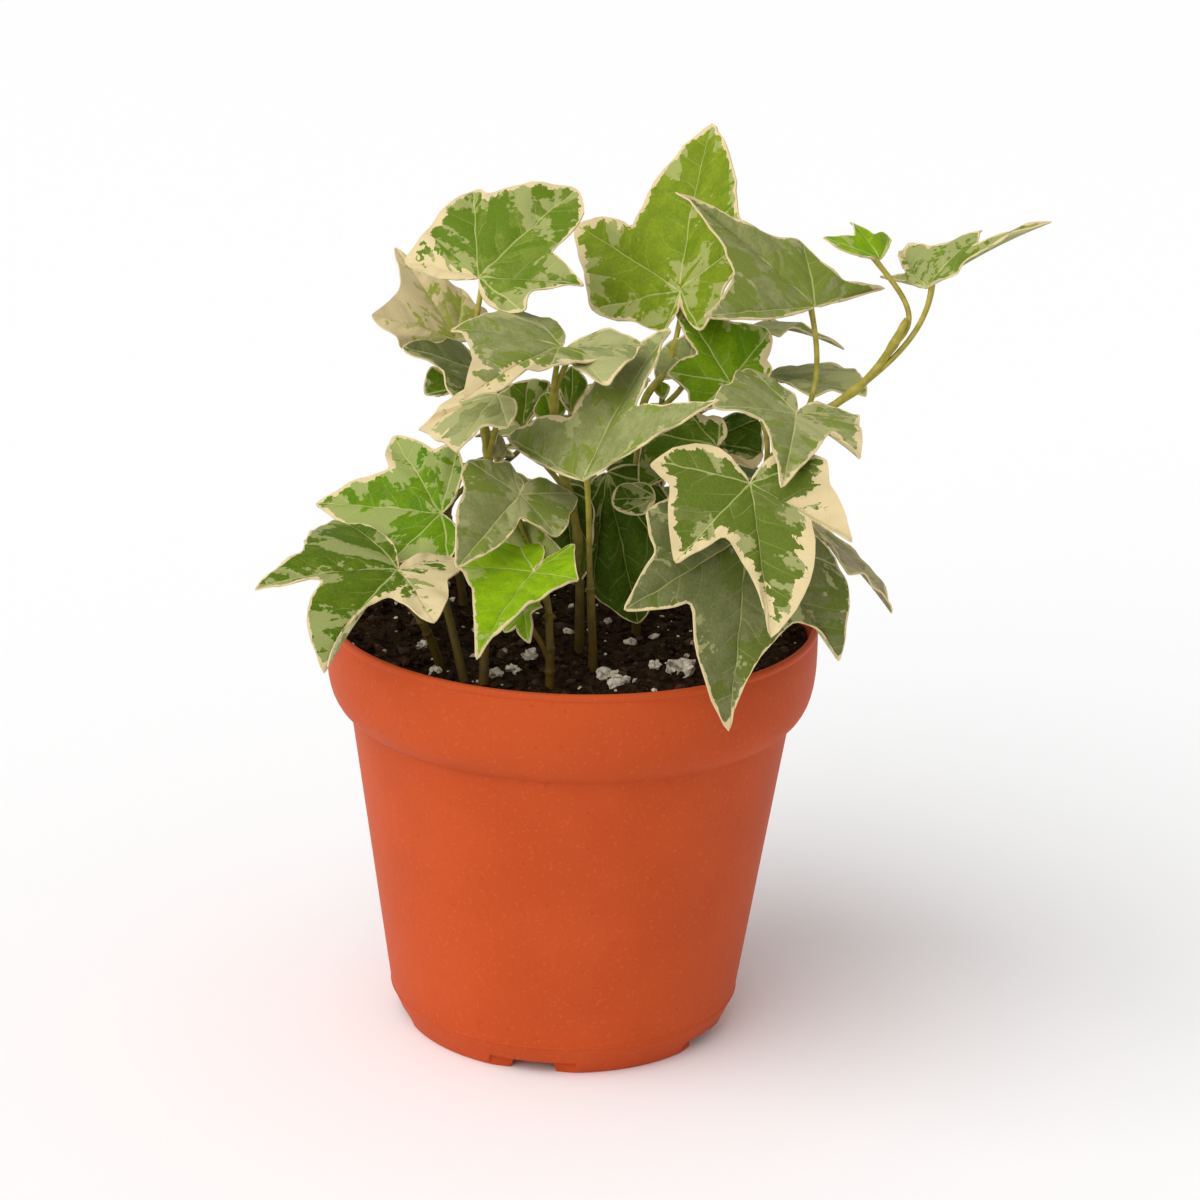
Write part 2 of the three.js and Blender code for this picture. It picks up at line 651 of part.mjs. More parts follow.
function pot() {
  let body = potBody();
  for (let notch = 0; notch < NOTCH_COUNT; notch += 1) {
    const angle = FIRST_NOTCH_ANGLE + (notch * 360) / NOTCH_COUNT;
    const inside = FOOT_RADIUS - FOOT_RING_WIDTH - 2;
    const recess = [NOTCH_WIDTH, NOTCH_WIDTH, FOOT_RADIUS - NOTCH_DEPTH];
    const opening = [DRAIN_GAP_FOOT, DRAIN_GAP_TOP, inside];
    [recess, opening].forEach((cut) => { body = body.subtract(footCut(...cut, angle)); });
    body = body.subtract(drainHole(angle));
  }
  return body;
}

// ---------------------------------------------------------------- soil

// Small rises and dips of the soil, as a sum of waves.
function soilRelief(x, y) {
  const waves = Math.sin(0.31 * x + 0.7) * Math.cos(0.27 * y) + 0.6 * Math.sin(0.53 * y - 0.41 * x);
  return SOIL_ROUGHNESS * 0.6 * waves;
}

function soilPlug() {
  const floorTop = FLOOR_UNDERSIDE + FLOOR_THICKNESS + SOIL_GAP;
  const shrink = WALL + SOIL_GAP;
  const wall = [
    [0, floorTop],
    [BODY_FOOT_RADIUS - shrink - 1.3, floorTop],
    [BODY_FOOT_RADIUS - shrink, MOULD_LINE_HEIGHT + 0.2],
    [BODY_TOP_RADIUS - shrink, BAND_FOOT_HEIGHT - 2],
    [BAND_FOOT_RADIUS - shrink, BAND_FOOT_HEIGHT + 1.6],
    [BAND_FOOT_RADIUS + 3 - shrink, BAND_FOOT_HEIGHT + 7.4],
  ];
  const edge = RIM_RADIUS - shrink - 0.6;
  const top = [];
  for (let ring = 0; ring <= SOIL_RINGS; ring += 1) {
    top.push([edge * (1 - ring / SOIL_RINGS), SOIL_TOP]);
  }
  const geometry = turned([...wall, ...top], SOIL_SEGMENTS);
  const position = geometry.attributes.position;
  for (let i = 0; i < position.count; i += 1) {
    if (position.getZ(i) > SOIL_TOP - 0.01) {
      position.setZ(i, SOIL_TOP + soilRelief(position.getX(i), position.getY(i)));
    }
  }
  return toSolid(geometry);
}

function perliteGrain([x, y, radius]) {
  const grain = new THREE.IcosahedronGeometry(radius, 0);
  grain.scale(1.2, 1, 0.8).rotateZ(x + y).translate(x, y, SOIL_TOP + 0.2 * radius);
  return toSolid(grain);
}

// The plain hole that a stem stands in, a little wider and deeper than the stem.
function stemHole({ route }) {
  const [foot, ...rest] = route;
  const deeper = [foot[0], foot[1], foot[2] - STEM_HOLE_CLEARANCE];
  const curve = stemCurve([deeper, ...rest]);
  return toSolid(tube(curve, STEM_RADIUS + STEM_HOLE_CLEARANCE, STEM_SIDES, STEM_STEPS));
}

function soil() {
  const filled = joinAll([soilPlug(), ...PERLITE.map(perliteGrain)]);
  return STEMS.map(stemHole).reduce((left, hole) => left.subtract(hole), filled);
}

// ---------------------------------------------------------------- the potted ivy

const pottedIvy = new THREE.Group();
pottedIvy.add(piece('pot', pot(), 0xc8552e, 0.55));
pottedIvy.add(piece('soil', soil(), 0x2a1d14, 0.95));
STEMS.forEach((stem) => pottedIvy.add(piece(stem.name, leafyStem(stem), 0x6f8f4a, 0.5)));

export default pottedIvy;
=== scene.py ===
"""A potted ivy: variegated leaves on thin stems in a terracotta-coloured plastic pot.

Sizes are in millimetres, from the middle of the pot's foot, until MM turns them into metres.
"""

import math
import random

import bpy
import numpy as np
from mathutils import Matrix, Vector, noise


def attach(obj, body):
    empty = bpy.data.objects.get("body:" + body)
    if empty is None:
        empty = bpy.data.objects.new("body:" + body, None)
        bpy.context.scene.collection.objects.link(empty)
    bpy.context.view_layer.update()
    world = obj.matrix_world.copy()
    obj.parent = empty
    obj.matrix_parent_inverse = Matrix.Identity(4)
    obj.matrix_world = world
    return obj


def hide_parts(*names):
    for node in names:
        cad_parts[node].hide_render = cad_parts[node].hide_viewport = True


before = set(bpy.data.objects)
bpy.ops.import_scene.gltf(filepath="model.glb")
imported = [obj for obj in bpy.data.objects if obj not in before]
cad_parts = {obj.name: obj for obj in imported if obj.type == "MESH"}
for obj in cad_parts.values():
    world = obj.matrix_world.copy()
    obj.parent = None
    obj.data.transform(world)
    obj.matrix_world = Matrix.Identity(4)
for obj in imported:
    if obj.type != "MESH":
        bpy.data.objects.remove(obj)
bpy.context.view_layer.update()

MM = 0.001

# ---- driving sizes

POT_SIDES = 144
NOTCH_COUNT = 5
FIRST_NOTCH_ANGLE = -100
NOTCH_HEIGHT = 3
NOTCH_EDGE_ROUND = 0.45
ROUNDED_FROM = 60
CUTTER_REACH = 45
CUTTER_FOOT = -1
# Each notch is cut in two steps: name, inner radius, width at the foot and at the top.
NOTCH_STEPS = [("foot_recess", 34.8, 20.5, 19), ("foot_opening", 30.8, 11, 8)]
DRAIN_HOLE_RADIUS = 3.2
DRAIN_HOLE_CIRCLE = 26
DRILL_LENGTH = 6
DRILL_MIDDLE = 3.7

SOIL_TOP = 89
SOIL_RADIUS = 51.9
SOIL_CELLS = 150
# Rings of the bed below its top: radius and height.
BED_RINGS = [(51.3, 82), (47, 71.4), (37.3, 7.2), (34, 4.6)]
WALL_CLEARANCE = 2.2
CRUMBS = 900
BARK_SHARE = 0.2
SMALL_PERLITE = 150

BLADE_THICKNESS = 0.36
BLADE_FOLD = 6
SAME_PLACE = 0.02
BLADE_DROOP = 0.12
SINUS_DEPTH = 0.53
SIDE_SINUS_DEPTH = 0.82
EDGE_SWELL = 0.1
BASE_SWELL = 0.28
ARROW_BASE_SWELL = 0.1
EDGE_STEPS = 10
BLADE_ROWS = 16
ROW_CROWDING = 1.3
CREAM_FULL = 0.4
SOFTENING = 3
SINUS_PULL = 0.5
BLUNTNESS = 0.35
CORNER_REACH = 2.5
VALLEY = 0.07
RIPPLE = 0.35
RIPPLE_LENGTH = 11
PETIOLE_INSET = 1.6
PETIOLE_REACH = 0.35
PETIOLE_LIFT = 0.6
PETIOLE_RADIUS = 0.62
PETIOLE_SAMPLES = 16
STEM_RADIUS = 1.1
STEM_TAPER = 0.25
STEM_END_RADIUS = 0.5
NODE_SWELL = 0.3
NODE_LENGTH = 0.018
STEM_SAMPLES = 60
CURVE_STEPS = 40

# A blade's UV map: units per millimetre, and where in a unit a vein starts.
VEIN_SCALE = 0.015
VEIN_START = 0.2
VEIN_WIDTH = 0.19
VEIN_TAPER = 0.004
VEIN_SOFTNESS = 0.14
VEIN_SWAY = 1.4
BRANCH_SLANT = 0.85
BRANCH_SPACING = 5.6
BRANCH_OFFSET = 0.22
BRANCH_FADE = 9

LAMP_STRENGTH = 2.2
LAMP_SPREAD = 70
LAMP_WAY = (0.65, 0.55, -0.85)
ROOM_STRENGTH = 0.56

# The camera, in front of the pot and above it, tipped by a hair.
CAMERA_PLACE = (0, -732.07, 339.01)
CAMERA_YAW = 0.008
CAMERA_PITCH = 0.319
CAMERA_ROLL = 0.029
CAMERA_LENS = 105.33
SENSOR_WIDTH = 36

# Pot outline, from the middle of its underside up the outside and down the inside.
POT_OUTLINE = [
    (8, 0), (8.4, 0.3), (8.6, 3), (32.4, 3), (32.7, 0.5), (33.1, 0), (35.5, 0), (35.95, 0.15),
    (36.25, 0.6), (38.95, 6.75), (39.0, 7.0), (39.22, 7.08), (39.24, 7.3), (39.12, 7.42),
    (41, 20.2), (44, 40.9), (47, 61.4), (48.55, 71.9), (48.62, 72.7), (48.75, 72.95),
    (49.4, 73.15), (49.9, 73.5), (50.7, 74.2), (51.6, 75.2), (52.25, 76.3), (52.8, 77.5),
    (53.25, 79), (53.6, 80.7), (53.85, 82.8), (53.98, 85), (54.02, 87.5), (53.95, 92.1),
    (53.82, 92.35), (53.82, 92.6), (54, 92.85), (54.05, 93.3), (53.98, 93.75), (53.75, 94.05),
    (53.4, 94.2), (52.95, 94.15), (52.7, 93.95), (52.58, 93.6), (52.2, 84.4), (51.9, 82),
    (51.3, 79.8), (50, 77), (48.3, 74.4), (47.3, 71.4), (37.7, 7.2), (37.3, 5.4), (36.5, 4.6),
    (35.5, 4.4), (6, 4.4),
]

# Larger perlite grains: x, y, radius.
PERLITE = [
    (-29, -28.5, 1.5), (-32.5, -12, 1.3), (-16, -28.5, 1.5), (-12.5, -24.5, 1.4), (-9, -17, 1.8),
    (7.5, -28, 1.9), (10, -34, 2), (13, -4, 1.4), (18, -21, 1.5), (24, -25, 2.6), (-14, 12, 1.7),
    (-30, 30, 1.8), (36, 22, 1.9),
]


def srgb(red, green, blue):
    """A colour as seen on screen, 0 to 255, in linear values."""
    values = []
    for level in (red / 255, green / 255, blue / 255):
        values.append(level / 12.92 if level <= 0.04045 else ((level + 0.055) / 1.055) ** 2.4)
    return (*values, 1)


# The greens of the leaves, as seen on screen.
TONES = {
    "mid_green": (118, 138, 42),
    "leaf_green": (94, 118, 12),
    "fresh_green": (130, 150, 24),
    "grey_green": (152, 156, 100),
    "dark_grey_green": (122, 126, 79),
    "dull_green": (116, 126, 60),
    "deep_green": (74, 98, 4),
    "bright_green": (106, 143, 0),
    "vivid_green": (112, 144, 0),
    "pale_green": (204, 194, 126),
    "lime": (146, 184, 0),
    "shadow_grey": (172, 158, 128),
}


def one_each(value, count):
    """A single value is repeated, a list of values stays as it is."""
    return (value,) * count if isinstance(value, (int, float)) else value


def leaf(on, at, aim, tone, sage, dark, lobes, cream, droop=BLADE_DROOP, swell=EDGE_SWELL,
         base=None, lean=0, blunt=BLUNTNESS, bow=(0, 0)):
    """One leaf. on: its place along the stem; at: the petiole point; aim: heading, rise, roll.

    tone: the green; sage, dark: how much of the blade is in pale and in dark patches;
    lobes: angle and length of each, with the angle and length of the sinus on its right;
    cream: the pale margin's width, one value, or one at each tip, or at each tip and sinus;
    swell: how far the edges between the first tip and the last swell, one value or one for each;
    base: the same for the two edges beside the petiole; lean: the central lobe's curve;
    blunt: how round the tips are; bow: how far its petiole is bent to the right and upwards.
    """
    if base is None:
        base = one_each(BASE_SWELL if len(lobes) > 3 else ARROW_BASE_SWELL, 2)
    swell = one_each(swell, 2 * len(lobes) - 2)
    return dict(
        on=on, at=at, aim=aim, tone=tone, sage=sage, dark=dark, lobes=lobes, droop=droop,
        cream=one_each(cream, len(lobes)), swell=(base[0], *swell, base[1]), lean=lean,
        blunt=blunt, bow=bow,
    )


def usual_leaf(on, at, aim, length, tone, sage=0.4, dark=0.35, cream=0.6):
    """A leaf with five lobes in this ivy's usual proportions."""
    shares = [(-108, 0.5), (-52, 0.78), (0, 1), (52, 0.78), (108, 0.5)]
    lobes = [(angle, share * length) for angle, share in shares]
    return leaf(on, at, aim, tone, sage, dark, lobes, cream)


# Leafy stems: the points each passes through, and its leaves. A leaf starts with on, at, aim,
# tone, sage and dark; a usual leaf with on, at, aim, its length and tone.
STEMS = {
    "left_edge": ([(-27.5, -21, 80), (-28.5, -22.5, 90), (-32.5, -26, 101)], [
        leaf(0.95, (-36.5, -38, 115), (-112, -8, -10), "leaf_green", 0.45, 0.35,
            lobes=[(-150, 16, -92, 11), (-48, 19.5, -15, 11.5), (0, 33, 40, 17.5),
                (52, 30, 75, 20.5), (130, 27.5)], cream=(8, 5, 7, 1.5, 0.5, 0.4, 0.6, 0.4, 0.4),
            droop=0.24, blunt=0.3, base=(0.25, 0.14),
            swell=(0.1, 0.1, 0.08, -0.1, 0.16, 0.05, 0.04, 0.1)),
        usual_leaf(0.8, (-43, -9.5, 110.5), (-146, -2, 0), 21.5, "deep_green", sage=0.2, dark=0.3,
            cream=0.4),
    ]),
    "left": ([(-21.5, -31.5, 80), (-23, -31.5, 90), (-27.5, -26, 106)], [
        leaf(0.95, (-28.5, -15, 120.5), (162, 1, -44), "bright_green", 0.58, 0.3,
            lobes=[(-114, 12), (-60, 16, -36, 15.5), (0, 30, 30, 17), (47, 24, 68, 16),
                (86, 16.5)], cream=(0.3, 0.3, 0.3, 0.4, 0.8, 1.6, 0.7, 1, 0.4), blunt=0.45,
            base=(0.28, 0.2), swell=(0.03, 0.05, 0.05, 0.05, 0.03, 0.12, 0.05, 0)),
    ]),
    "tall_left": ([(-18.5, -34, 80), (-18.5, -33, 92), (-18.5, -22, 112.5), (-19, -10, 132),
        (-22, -4, 147)], [
        leaf(0.98, (-22, 5, 167.5), (34, 39, 26), "mid_green", 0.5, 0.45,
            lobes=[(-113, 17.5, -86, 17), (-47, 23.5, -36, 21), (0, 30.5, 32, 17),
                (59, 23.5, 73, 13.5), (93, 14.5)], cream=(7, 2.5, 0.5, 2, 1.2, 0.3, 0.4, 0.3, 0.8),
            blunt=0.5, base=(0.14, 0.28), swell=(0.03, 0.08, 0.03, 0.11, 0.24, 0, 0.02, -0.06)),
        leaf(0.9, (-27.5, 20, 150), (142, 50, -5), "pale_green", 0.4, 0.5,
            lobes=[(-84, 16, -75, 18), (-59, 21.5, -30, 16.8), (0, 25.3, 15, 16), (42, 14.5),
                (74, 13)], cream=(4, 7, 9, 7, 9, 5, 3, 2.5, 2), blunt=0.45,
            swell=(-0.03, 0.1, -0.03, -0.03, -0.03, -0.03, -0.03, -0.03)),
        leaf(0.85, (-21.5, 10, 145), (-145, 28, -31), "dark_grey_green", 0.1, 0.4,
            lobes=[(-50, 19, -25, 15.5), (0, 21, 20, 12), (70, 9)], cream=0.2),
        leaf(0.75, (-17, -15, 147), (178, -17, -19), "grey_green", 0.7, 0.1,
            lobes=[(-98, 12.5, -70, 12.5), (-57, 18, -38, 17), (0, 18.5, 3, 13.8), (30, 11)],
            cream=(0.4, 0.4, 0.8, 2.5, 5, 4.5, 3.5), droop=0.18, swell=0.03),
        leaf(0.8, (-26.5, 15, 140.5), (-175, -9, -59), "leaf_green", 0.1, 0.1,
            lobes=[(-16, 4.5, -8, 6), (0, 7.5, 25, 7.5), (50, 7.5)], cream=0.3),
        leaf(0.55, (-12.5, -9, 121.4), (109, 57, -22), "leaf_green", 0.2, 0.3,
            lobes=[(-39, 11, -22, 8.5), (0, 7.5, 30, 6), (60, 7, 77, 9), (90, 10.5)],
            cream=(0.3, 0.3, 0.3, 0.4, 1.2, 1, 0.5)),
        leaf(0.65, (-17, -6, 129.5), (78, 77, 23), "shadow_grey", 0.1, 0.1,
            lobes=[(-35, 3, -12, 4.5), (0, 6.5, 16, 4.5), (31, 3.5)], cream=0.1),
    ]),
    "front": ([(-4.5, -36, 80), (-4.5, -36, 92), (-5, -36, 106)], [
        leaf(0.97, (-8.5, -40, 116), (-112, -12, 1), "lime", 0.1, 0.15, lobes=[(-165, 14, -115, 9),
                (-81, 11, -28, 13), (0, 30, 37, 14.5), (80, 16, 112, 15.5), (143, 18)],
            cream=(0.2, 0.2, 0.2, 0.4, 0.8, 0.4, 1, 0.4, 0.2), blunt=0.4, base=(0.1, 0.28),
            swell=0),
        leaf(0.5, (-10, -38, 106.5), (-87, -16, 38), "lime", 0.1, 0.1, lobes=[(-106, 4), (-66, 5),
                (0, 9.5), (66, 6), (150, 5)], cream=0.3),
        leaf(0.97, (-12, -24, 128), (-110, -10, -36), "grey_green", 0.3, 0.4, lobes=[(-147, 16),
                (-72, 12.5, -25, 8.5), (0, 29.5, 36, 16), (72, 13.5), (139, 8)],
            cream=(0.2, 0.2, 0.3, 0.3, 0.4, 0.6, 0.4, 0.3, 0.3)),
        leaf(0.7, (-5.5, -33, 112), (125, 47, -18), "fresh_green", 0.4, 0.2,
            lobes=[(-24, 13, -10, 14.5), (0, 15.5, 25, 9.5), (89, 6)], cream=(0.2, 0.3, 0.3)),
    ]),
    "middle": ([(1.5, -9.5, 80), (1.5, -9.5, 92), (0.5, -6, 114), (-4, -5, 132),
        (-5.5, -8, 146)], [
        leaf(0.98, (-4, -12, 157), (-127, 0, -16), "grey_green", 0.35, 0.45,
            lobes=[(-104, 9, -62, 8), (-26, 12, -12, 17), (0, 30, 14, 23.5), (53, 23.5, 66, 18.5),
                (113, 16.5)], cream=(0.4, 1.2, 2.2, 3.4, 5, 1.2, 0.5, 0.3, 0.2), droop=0.2,
            blunt=0.3, swell=(0.05, 0.05, 0, 0.2, 0.05, -0.08, -0.06, 0.1)),
        leaf(0.95, (-3, -9, 156), (-5, 11, 20), "grey_green", 0.6, 0.15,
            lobes=[(-30, 10.5, -14, 12.5), (0, 16.5, 28, 16), (58, 17.5)],
            cream=(0.5, 0.3, 0.4, 0.3, 0.8), base=(0.1, 0.16), swell=0.04),
        leaf(0.6, (-12, 4, 134.5), (81, 60, 2), "leaf_green", 0.2, 0.4, lobes=[(-50, 9, -25, 10),
                (0, 11.5, 13, 11.5), (23, 12)], cream=(0.6, 0.4, 0.4)),
        leaf(0.65, (-5.5, -4, 137.5), (113, 58, -19), "bright_green", 0.2, 0.2,
            lobes=[(-44, 5, -19, 6.5), (0, 8, 19, 6.5), (46, 5)], cream=(0.4, 0.3, 0.3)),
        leaf(0.7, (-1.5, -3, 140), (91, 60, -1), "leaf_green", 0.1, 0.2,
            lobes=[(-27, 6.5, -12, 9.5), (0, 11, 12, 9.5), (27, 7.5)], cream=(0.8, 0.4, 0.3)),
        leaf(0.5, (-3, -1, 123.5), (-67, -64, 15), "deep_green", 0.1, 0.3,
            lobes=[(-51, 7.5, -29, 11), (-15, 15.5, -8, 19.5), (0, 21.5, 9, 20), (20, 18, 32, 13),
                (48, 7.5)], cream=(0.2, 0.4, 0.6, 0.3, 0.3, 0.2, 0.2, 0.2, 0.2)),
    ]),
    "centre": ([(4.5, -23.5, 80), (4.5, -23.5, 92), (3.5, -23.5, 108)], [
        leaf(0.98, (1.5, -30, 133), (62, 44, -21), "grey_green", 0.25, 0.4, lobes=[(-67, 32),
                (0, 42.5, 21, 19.5), (58, 35)], cream=(0.4, 1.6, 0.4, 0.4, 0.3), base=(0.06, 0.06),
            swell=(0.1, 0.1, 0.09, -0.05)),
    ]),
    "top": ([(14, 2, 80), (14, 2, 92), (13.5, 3, 115), (14.2, 5, 141), (16.5, 6, 144.9),
        (19.2, 8, 147.6), (20.8, 11, 153.6)], [
        leaf(0.98, (21.5, 14, 164), (81, 57, -30), "fresh_green", 0.3, 0.1,
            lobes=[(-163, 9.5, -122, 12.5), (-96, 23, -76, 26), (-58, 37.5, -40, 21.5),
                (0, 41, 43, 21.5), (62, 19.5, 92, 14.5), (146, 12.5)],
            cream=(0.3, 0.5, 1.5, 1.6, 2.2, 1.2, 0.8, 0.8, 0.9, 0.5, 0.4), blunt=0.5,
            base=(0.15, 0.15), swell=(0.07, 0.07, 0.07, 0.05, 0.09, 0.07, 0.1, 0.04, 0.07, 0.07)),
        leaf(0.62, (32.5, 2, 146.5), (128, 41, -20), "vivid_green", 0.25, 0.45, lobes=[(-108, 11),
                (-57, 13.8, -20, 9.8), (0, 25.5, 28, 15), (60, 16.5), (100, 9.5)],
            cream=(0.3, 0.3, 0.4, 0.4, 0.5, 0.4, 1, 1.8, 1.2)),
        leaf(0.5, (30, -4, 134), (-177, -28, -51), "leaf_green", 0.2, 0.3,
            lobes=[(0, 18.5, 21, 17), (41, 16, 58, 13), (76, 10.5, 95, 7), (124, 6.5)],
            cream=(0.3, 0.3, 0.3, 0.5, 1.2, 2.5, 1.5), base=(0.1, 0.28)),
        leaf(0.4, (6.5, 3, 125.5), (-58, -65, 36), "deep_green", 0.1, 0.4,
            lobes=[(-64, 12.5, -43, 18), (-24, 24, -9, 29.5), (0, 33.5, 10, 29.5),
                (19, 26, 25, 16), (41, 8)], cream=(0.2, 0.2, 0.3, 0.3, 0.4, 0.2, 0.2, 0.2, 0.2)),
        leaf(0.45, (17, -14, 125), (175, -3, -65), "deep_green", 0.1, 0.4,
            lobes=[(-25, 7.5, -13, 9), (0, 9.5, 19, 8.5), (33, 6)], cream=(0.9, 0.6, 0.2),
            base=(0.3, 0.3)),
        leaf(0.68, (24, 6, 147.5), (143, 35, -53), "grey_green", 0.2, 0.2,
            lobes=[(-55, 7.5, -27, 8), (0, 9, 25, 8.5), (46, 9)], cream=0.3),
        leaf(0.58, (18.5, 6, 141.5), (120, 63, -27), "lime", 0.1, 0.1, lobes=[(-34, 3, -14, 3.5),
                (0, 4, 20, 3.5), (36, 3)], cream=0.2),
    ]),
    "runner": ([(27, -6, 80), (28, -6, 92), (36, -6, 118), (46, -5, 138), (55.5, -5, 144.8),
        (61.3, -5, 149.9), (66.8, -5, 158), (69.2, -5, 163.6)], [
        leaf(0.62, (50, 0, 164.4), (174, 40, -28), "grey_green", 0.2, 0.6,
            lobes=[(-57, 34, -31, 22.5), (0, 38.5, 17, 19), (50, 16, 97, 11.5), (118, 22)],
            cream=(0.5, 0.4, 0.4, 0.4, 0.4, 0.5, 0.6), droop=0.05, blunt=0.3, base=(0.08, 0.03),
            swell=(-0.05, -0.05, -0.03, -0.02, -0.08, -0.05), bow=(1.6, 0)),
        leaf(0.94, (63.2, 0, 175), (-161, 26, -29), "lime", 0.05, 0.4, lobes=[(-24, 4, -20, 9),
                (0, 14, 30, 7.5), (59, 11.5, 78, 7), (111, 12.5)], cream=0.15, blunt=0.3,
            base=(0.02, 0.06), swell=(0.05, 0.1, 0.05, 0.05, 0.05, 0.05), bow=(4, 0)),
        leaf(0.8, (73, -4, 170), (10, 35, 2), "mid_green", 0.6, 0.2, lobes=[(-106, 19, -95, 10.5),
                (-85, 28.5, -60, 15), (-30, 20.5, -12, 14), (0, 30, 5, 13), (20, 7.5)],
            cream=(0.3, 0.3, 1.2, 0.5, 0.6, 0.3, 0.3, 0.2, 0.2), blunt=0.25, base=(0, 0),
            swell=(0.02, 0.02, 0.06, 0.03, 0.04, 0.02, 0.04, -0.03), bow=(0.7, 0)),
        leaf(0.5, (36.8, 19, 154.7), (0, 8, -3), "grey_green", 0.5, 0.2,
            lobes=[(-50, 13.5, -14, 13), (0, 20.5, 18, 10), (50, 10)], cream=(0.4, 0.3, 0.4),
            droop=0.35, base=(0.05, 0.05), swell=0.04),
        leaf(0.55, (42, 18, 144), (-24, 3, 0), "grey_green", 0.5, 0.2, lobes=[(-82, 6.5),
                (-52, 19, -25, 19.5), (0, 22.5, 25, 21), (39, 18)],
            cream=(0.6, 0.5, 0.6, 0.4, 0.4, 0.3, 0.4), base=(0.28, 0.08),
            swell=(0.1, 0.1, 0.1, 0.1, 0.05, 0.05)),
    ]),
    "right": ([(31, -19, 80), (31, -19, 92), (36, -20, 115), (42, -21, 134)], [
        leaf(0.98, (45.5, -22, 146.5), (-96, -9, -18), "grey_green", 0.35, 0.35,
            lobes=[(-127, 15.5, -102, 14), (-56, 18, -50, 9.5), (0, 29, 36, 12.5),
                (59, 20.5, 95, 15), (141, 18)], cream=(0.5, 1, 2, 0.5, 0.8, 0.4, 0.3, 0.2, 0.2),
            blunt=0.45, swell=(0.05, 0.02, 0, 0.04, 0, 0.1, 0.1, 0.1)),
        leaf(0.7, (35.5, -42, 137), (-80, -40, 4), "dull_green", 0.6, 0.75,
            lobes=[(-107, 16.5, -81, 16.5), (-51, 24.5, -46, 15.5), (0, 34.5, 28, 15),
                (45, 25, 87, 17), (109, 20.5)], cream=(1.5, 3.5, 7, 4, 2.6, 2.2, 1.8, 1.6, 2),
            lean=-0.06, blunt=0.5, base=(0.28, 0.36),
            swell=(0.05, 0.04, 0.05, 0.1, 0, 0.02, 0.06, 0.1)),
        leaf(0.6, (27, 10, 131), (2, -7, 53), "deep_green", 0.3, 0.3, lobes=[(-52, 9.5, -42, 11.5),
                (-32, 14.5, -18, 14), (0, 14, 8, 14), (19, 12.5)],
            cream=(0.2, 0.2, 0.2, 0.3, 0.4, 1.5, 3.5), base=(0.1, 0.1)),
    ]),
    "right_low": ([(33, -27, 80), (33, -27, 92), (35, -28, 108)], [
        leaf(0.97, (35, -40, 125), (-92, -55, -25), "dark_grey_green", 0.22, 0.35,
            lobes=[(-82, 22, -67, 25.5), (-45, 32.5, -33, 20.5), (0, 40.5, 36, 21),
                (53, 33, 70, 23), (95, 22.5)], cream=(0.3, 0.3, 0.4, 0.3, 0.5, 0.4, 0.5, 0.4, 0.4),
            lean=0.06, blunt=0.4, swell=(0.05, 0.03, -0.16, -0.05, 0.05, 0.05, 0.05, 0.08)),
        leaf(0.8, (49, -12, 121), (-19, -35, -12), "shadow_grey", 0.5, 0.15,
            lobes=[(-29, 15.5, -11, 18.5), (0, 27.5, 31, 21), (44, 21)],
            cream=(0.3, 0.3, 0.3, 0.3, 0.4), blunt=0.25, base=(0.04, 0.06), swell=0.04),
    ]),
    "back_left": ([(-24, 18, 80), (-25, 18, 92), (-29, 22, 110)], [
        usual_leaf(0.95, (-27, 29, 118), (130, -20, 0), 28, "mid_green"),
        usual_leaf(0.9, (-11, 42, 125), (98, -12, 0), 29, "grey_green"),
        usual_leaf(0.7, (-35, 14, 112), (168, -22, 0), 25, "leaf_green"),
    ]),
    "back": ([(6, 28, 80), (6, 28, 92), (4, 30, 116)], [
        usual_leaf(0.97, (1, 42, 134), (105, -16, 0), 30, "grey_green"),
        usual_leaf(0.85, (11, 37, 110), (74, -4, 0), 28, "mid_green"),
        usual_leaf(0.7, (-2, 21, 127), (162, 4, 0), 22, "leaf_green"),
    ]),
    "back_right": ([(30, 20, 80), (30, 20, 92), (34, 22, 112)], [
        usual_leaf(0.95, (38, 32, 117), (44, -12, 0), 27, "leaf_green"),
        usual_leaf(0.85, (29, 33, 130), (60, -20, 0), 27, "grey_green"),
        usual_leaf(0.7, (41, 13, 113), (8, -18, 0), 25, "mid_green"),
        leaf(0.55, (19, 12, 117), (144, 53, -48), "deep_green", 0.1, 0.4,
            lobes=[(-34, 14, -17, 15), (0, 15.5, 10, 14.5), (19, 13.5)], cream=0.2),
    ]),
}


# ---- working on a piece

def deselect():
    bpy.ops.object.select_all(action="DESELECT")


def only(piece):
    """Selects one piece and makes it the active one."""
    if bpy.context.object and bpy.context.object.mode != "OBJECT":
        bpy.ops.object.mode_set(mode="OBJECT")
    deselect()
    piece.select_set(True)
    bpy.context.view_layer.objects.active = piece


def edit(piece):
    only(piece)
    bpy.ops.object.mode_set(mode="EDIT")


def new_piece(name):
    """Names the primitive that was just added."""
    piece = bpy.context.object
    piece.name = name
    piece.data.name = name
    return piece


def apply_modifiers(piece):
    only(piece)
    for modifier in list(piece.modifiers):
        bpy.ops.object.modifier_apply(modifier=modifier.name)


def join(pieces, name):
    only(pieces[0])
    for piece in pieces[1:]:
        piece.select_set(True)
    bpy.ops.object.join()
    return new_piece(name)


def places(piece):
    """The piece's vertices as rows of x, y, z in metres."""
    flat = np.empty(len(piece.data.vertices) * 3, np.float32)
    piece.data.vertices.foreach_get("co", flat)
    return flat.reshape(-1, 3).astype(float)


def place_at(piece, points):
    piece.data.vertices.foreach_set("co", np.asarray(points, np.float32).ravel())
    piece.data.update()


def smooth(piece, degrees):
    only(piece)
    bpy.ops.object.shade_smooth_by_angle(angle=math.radians(degrees))


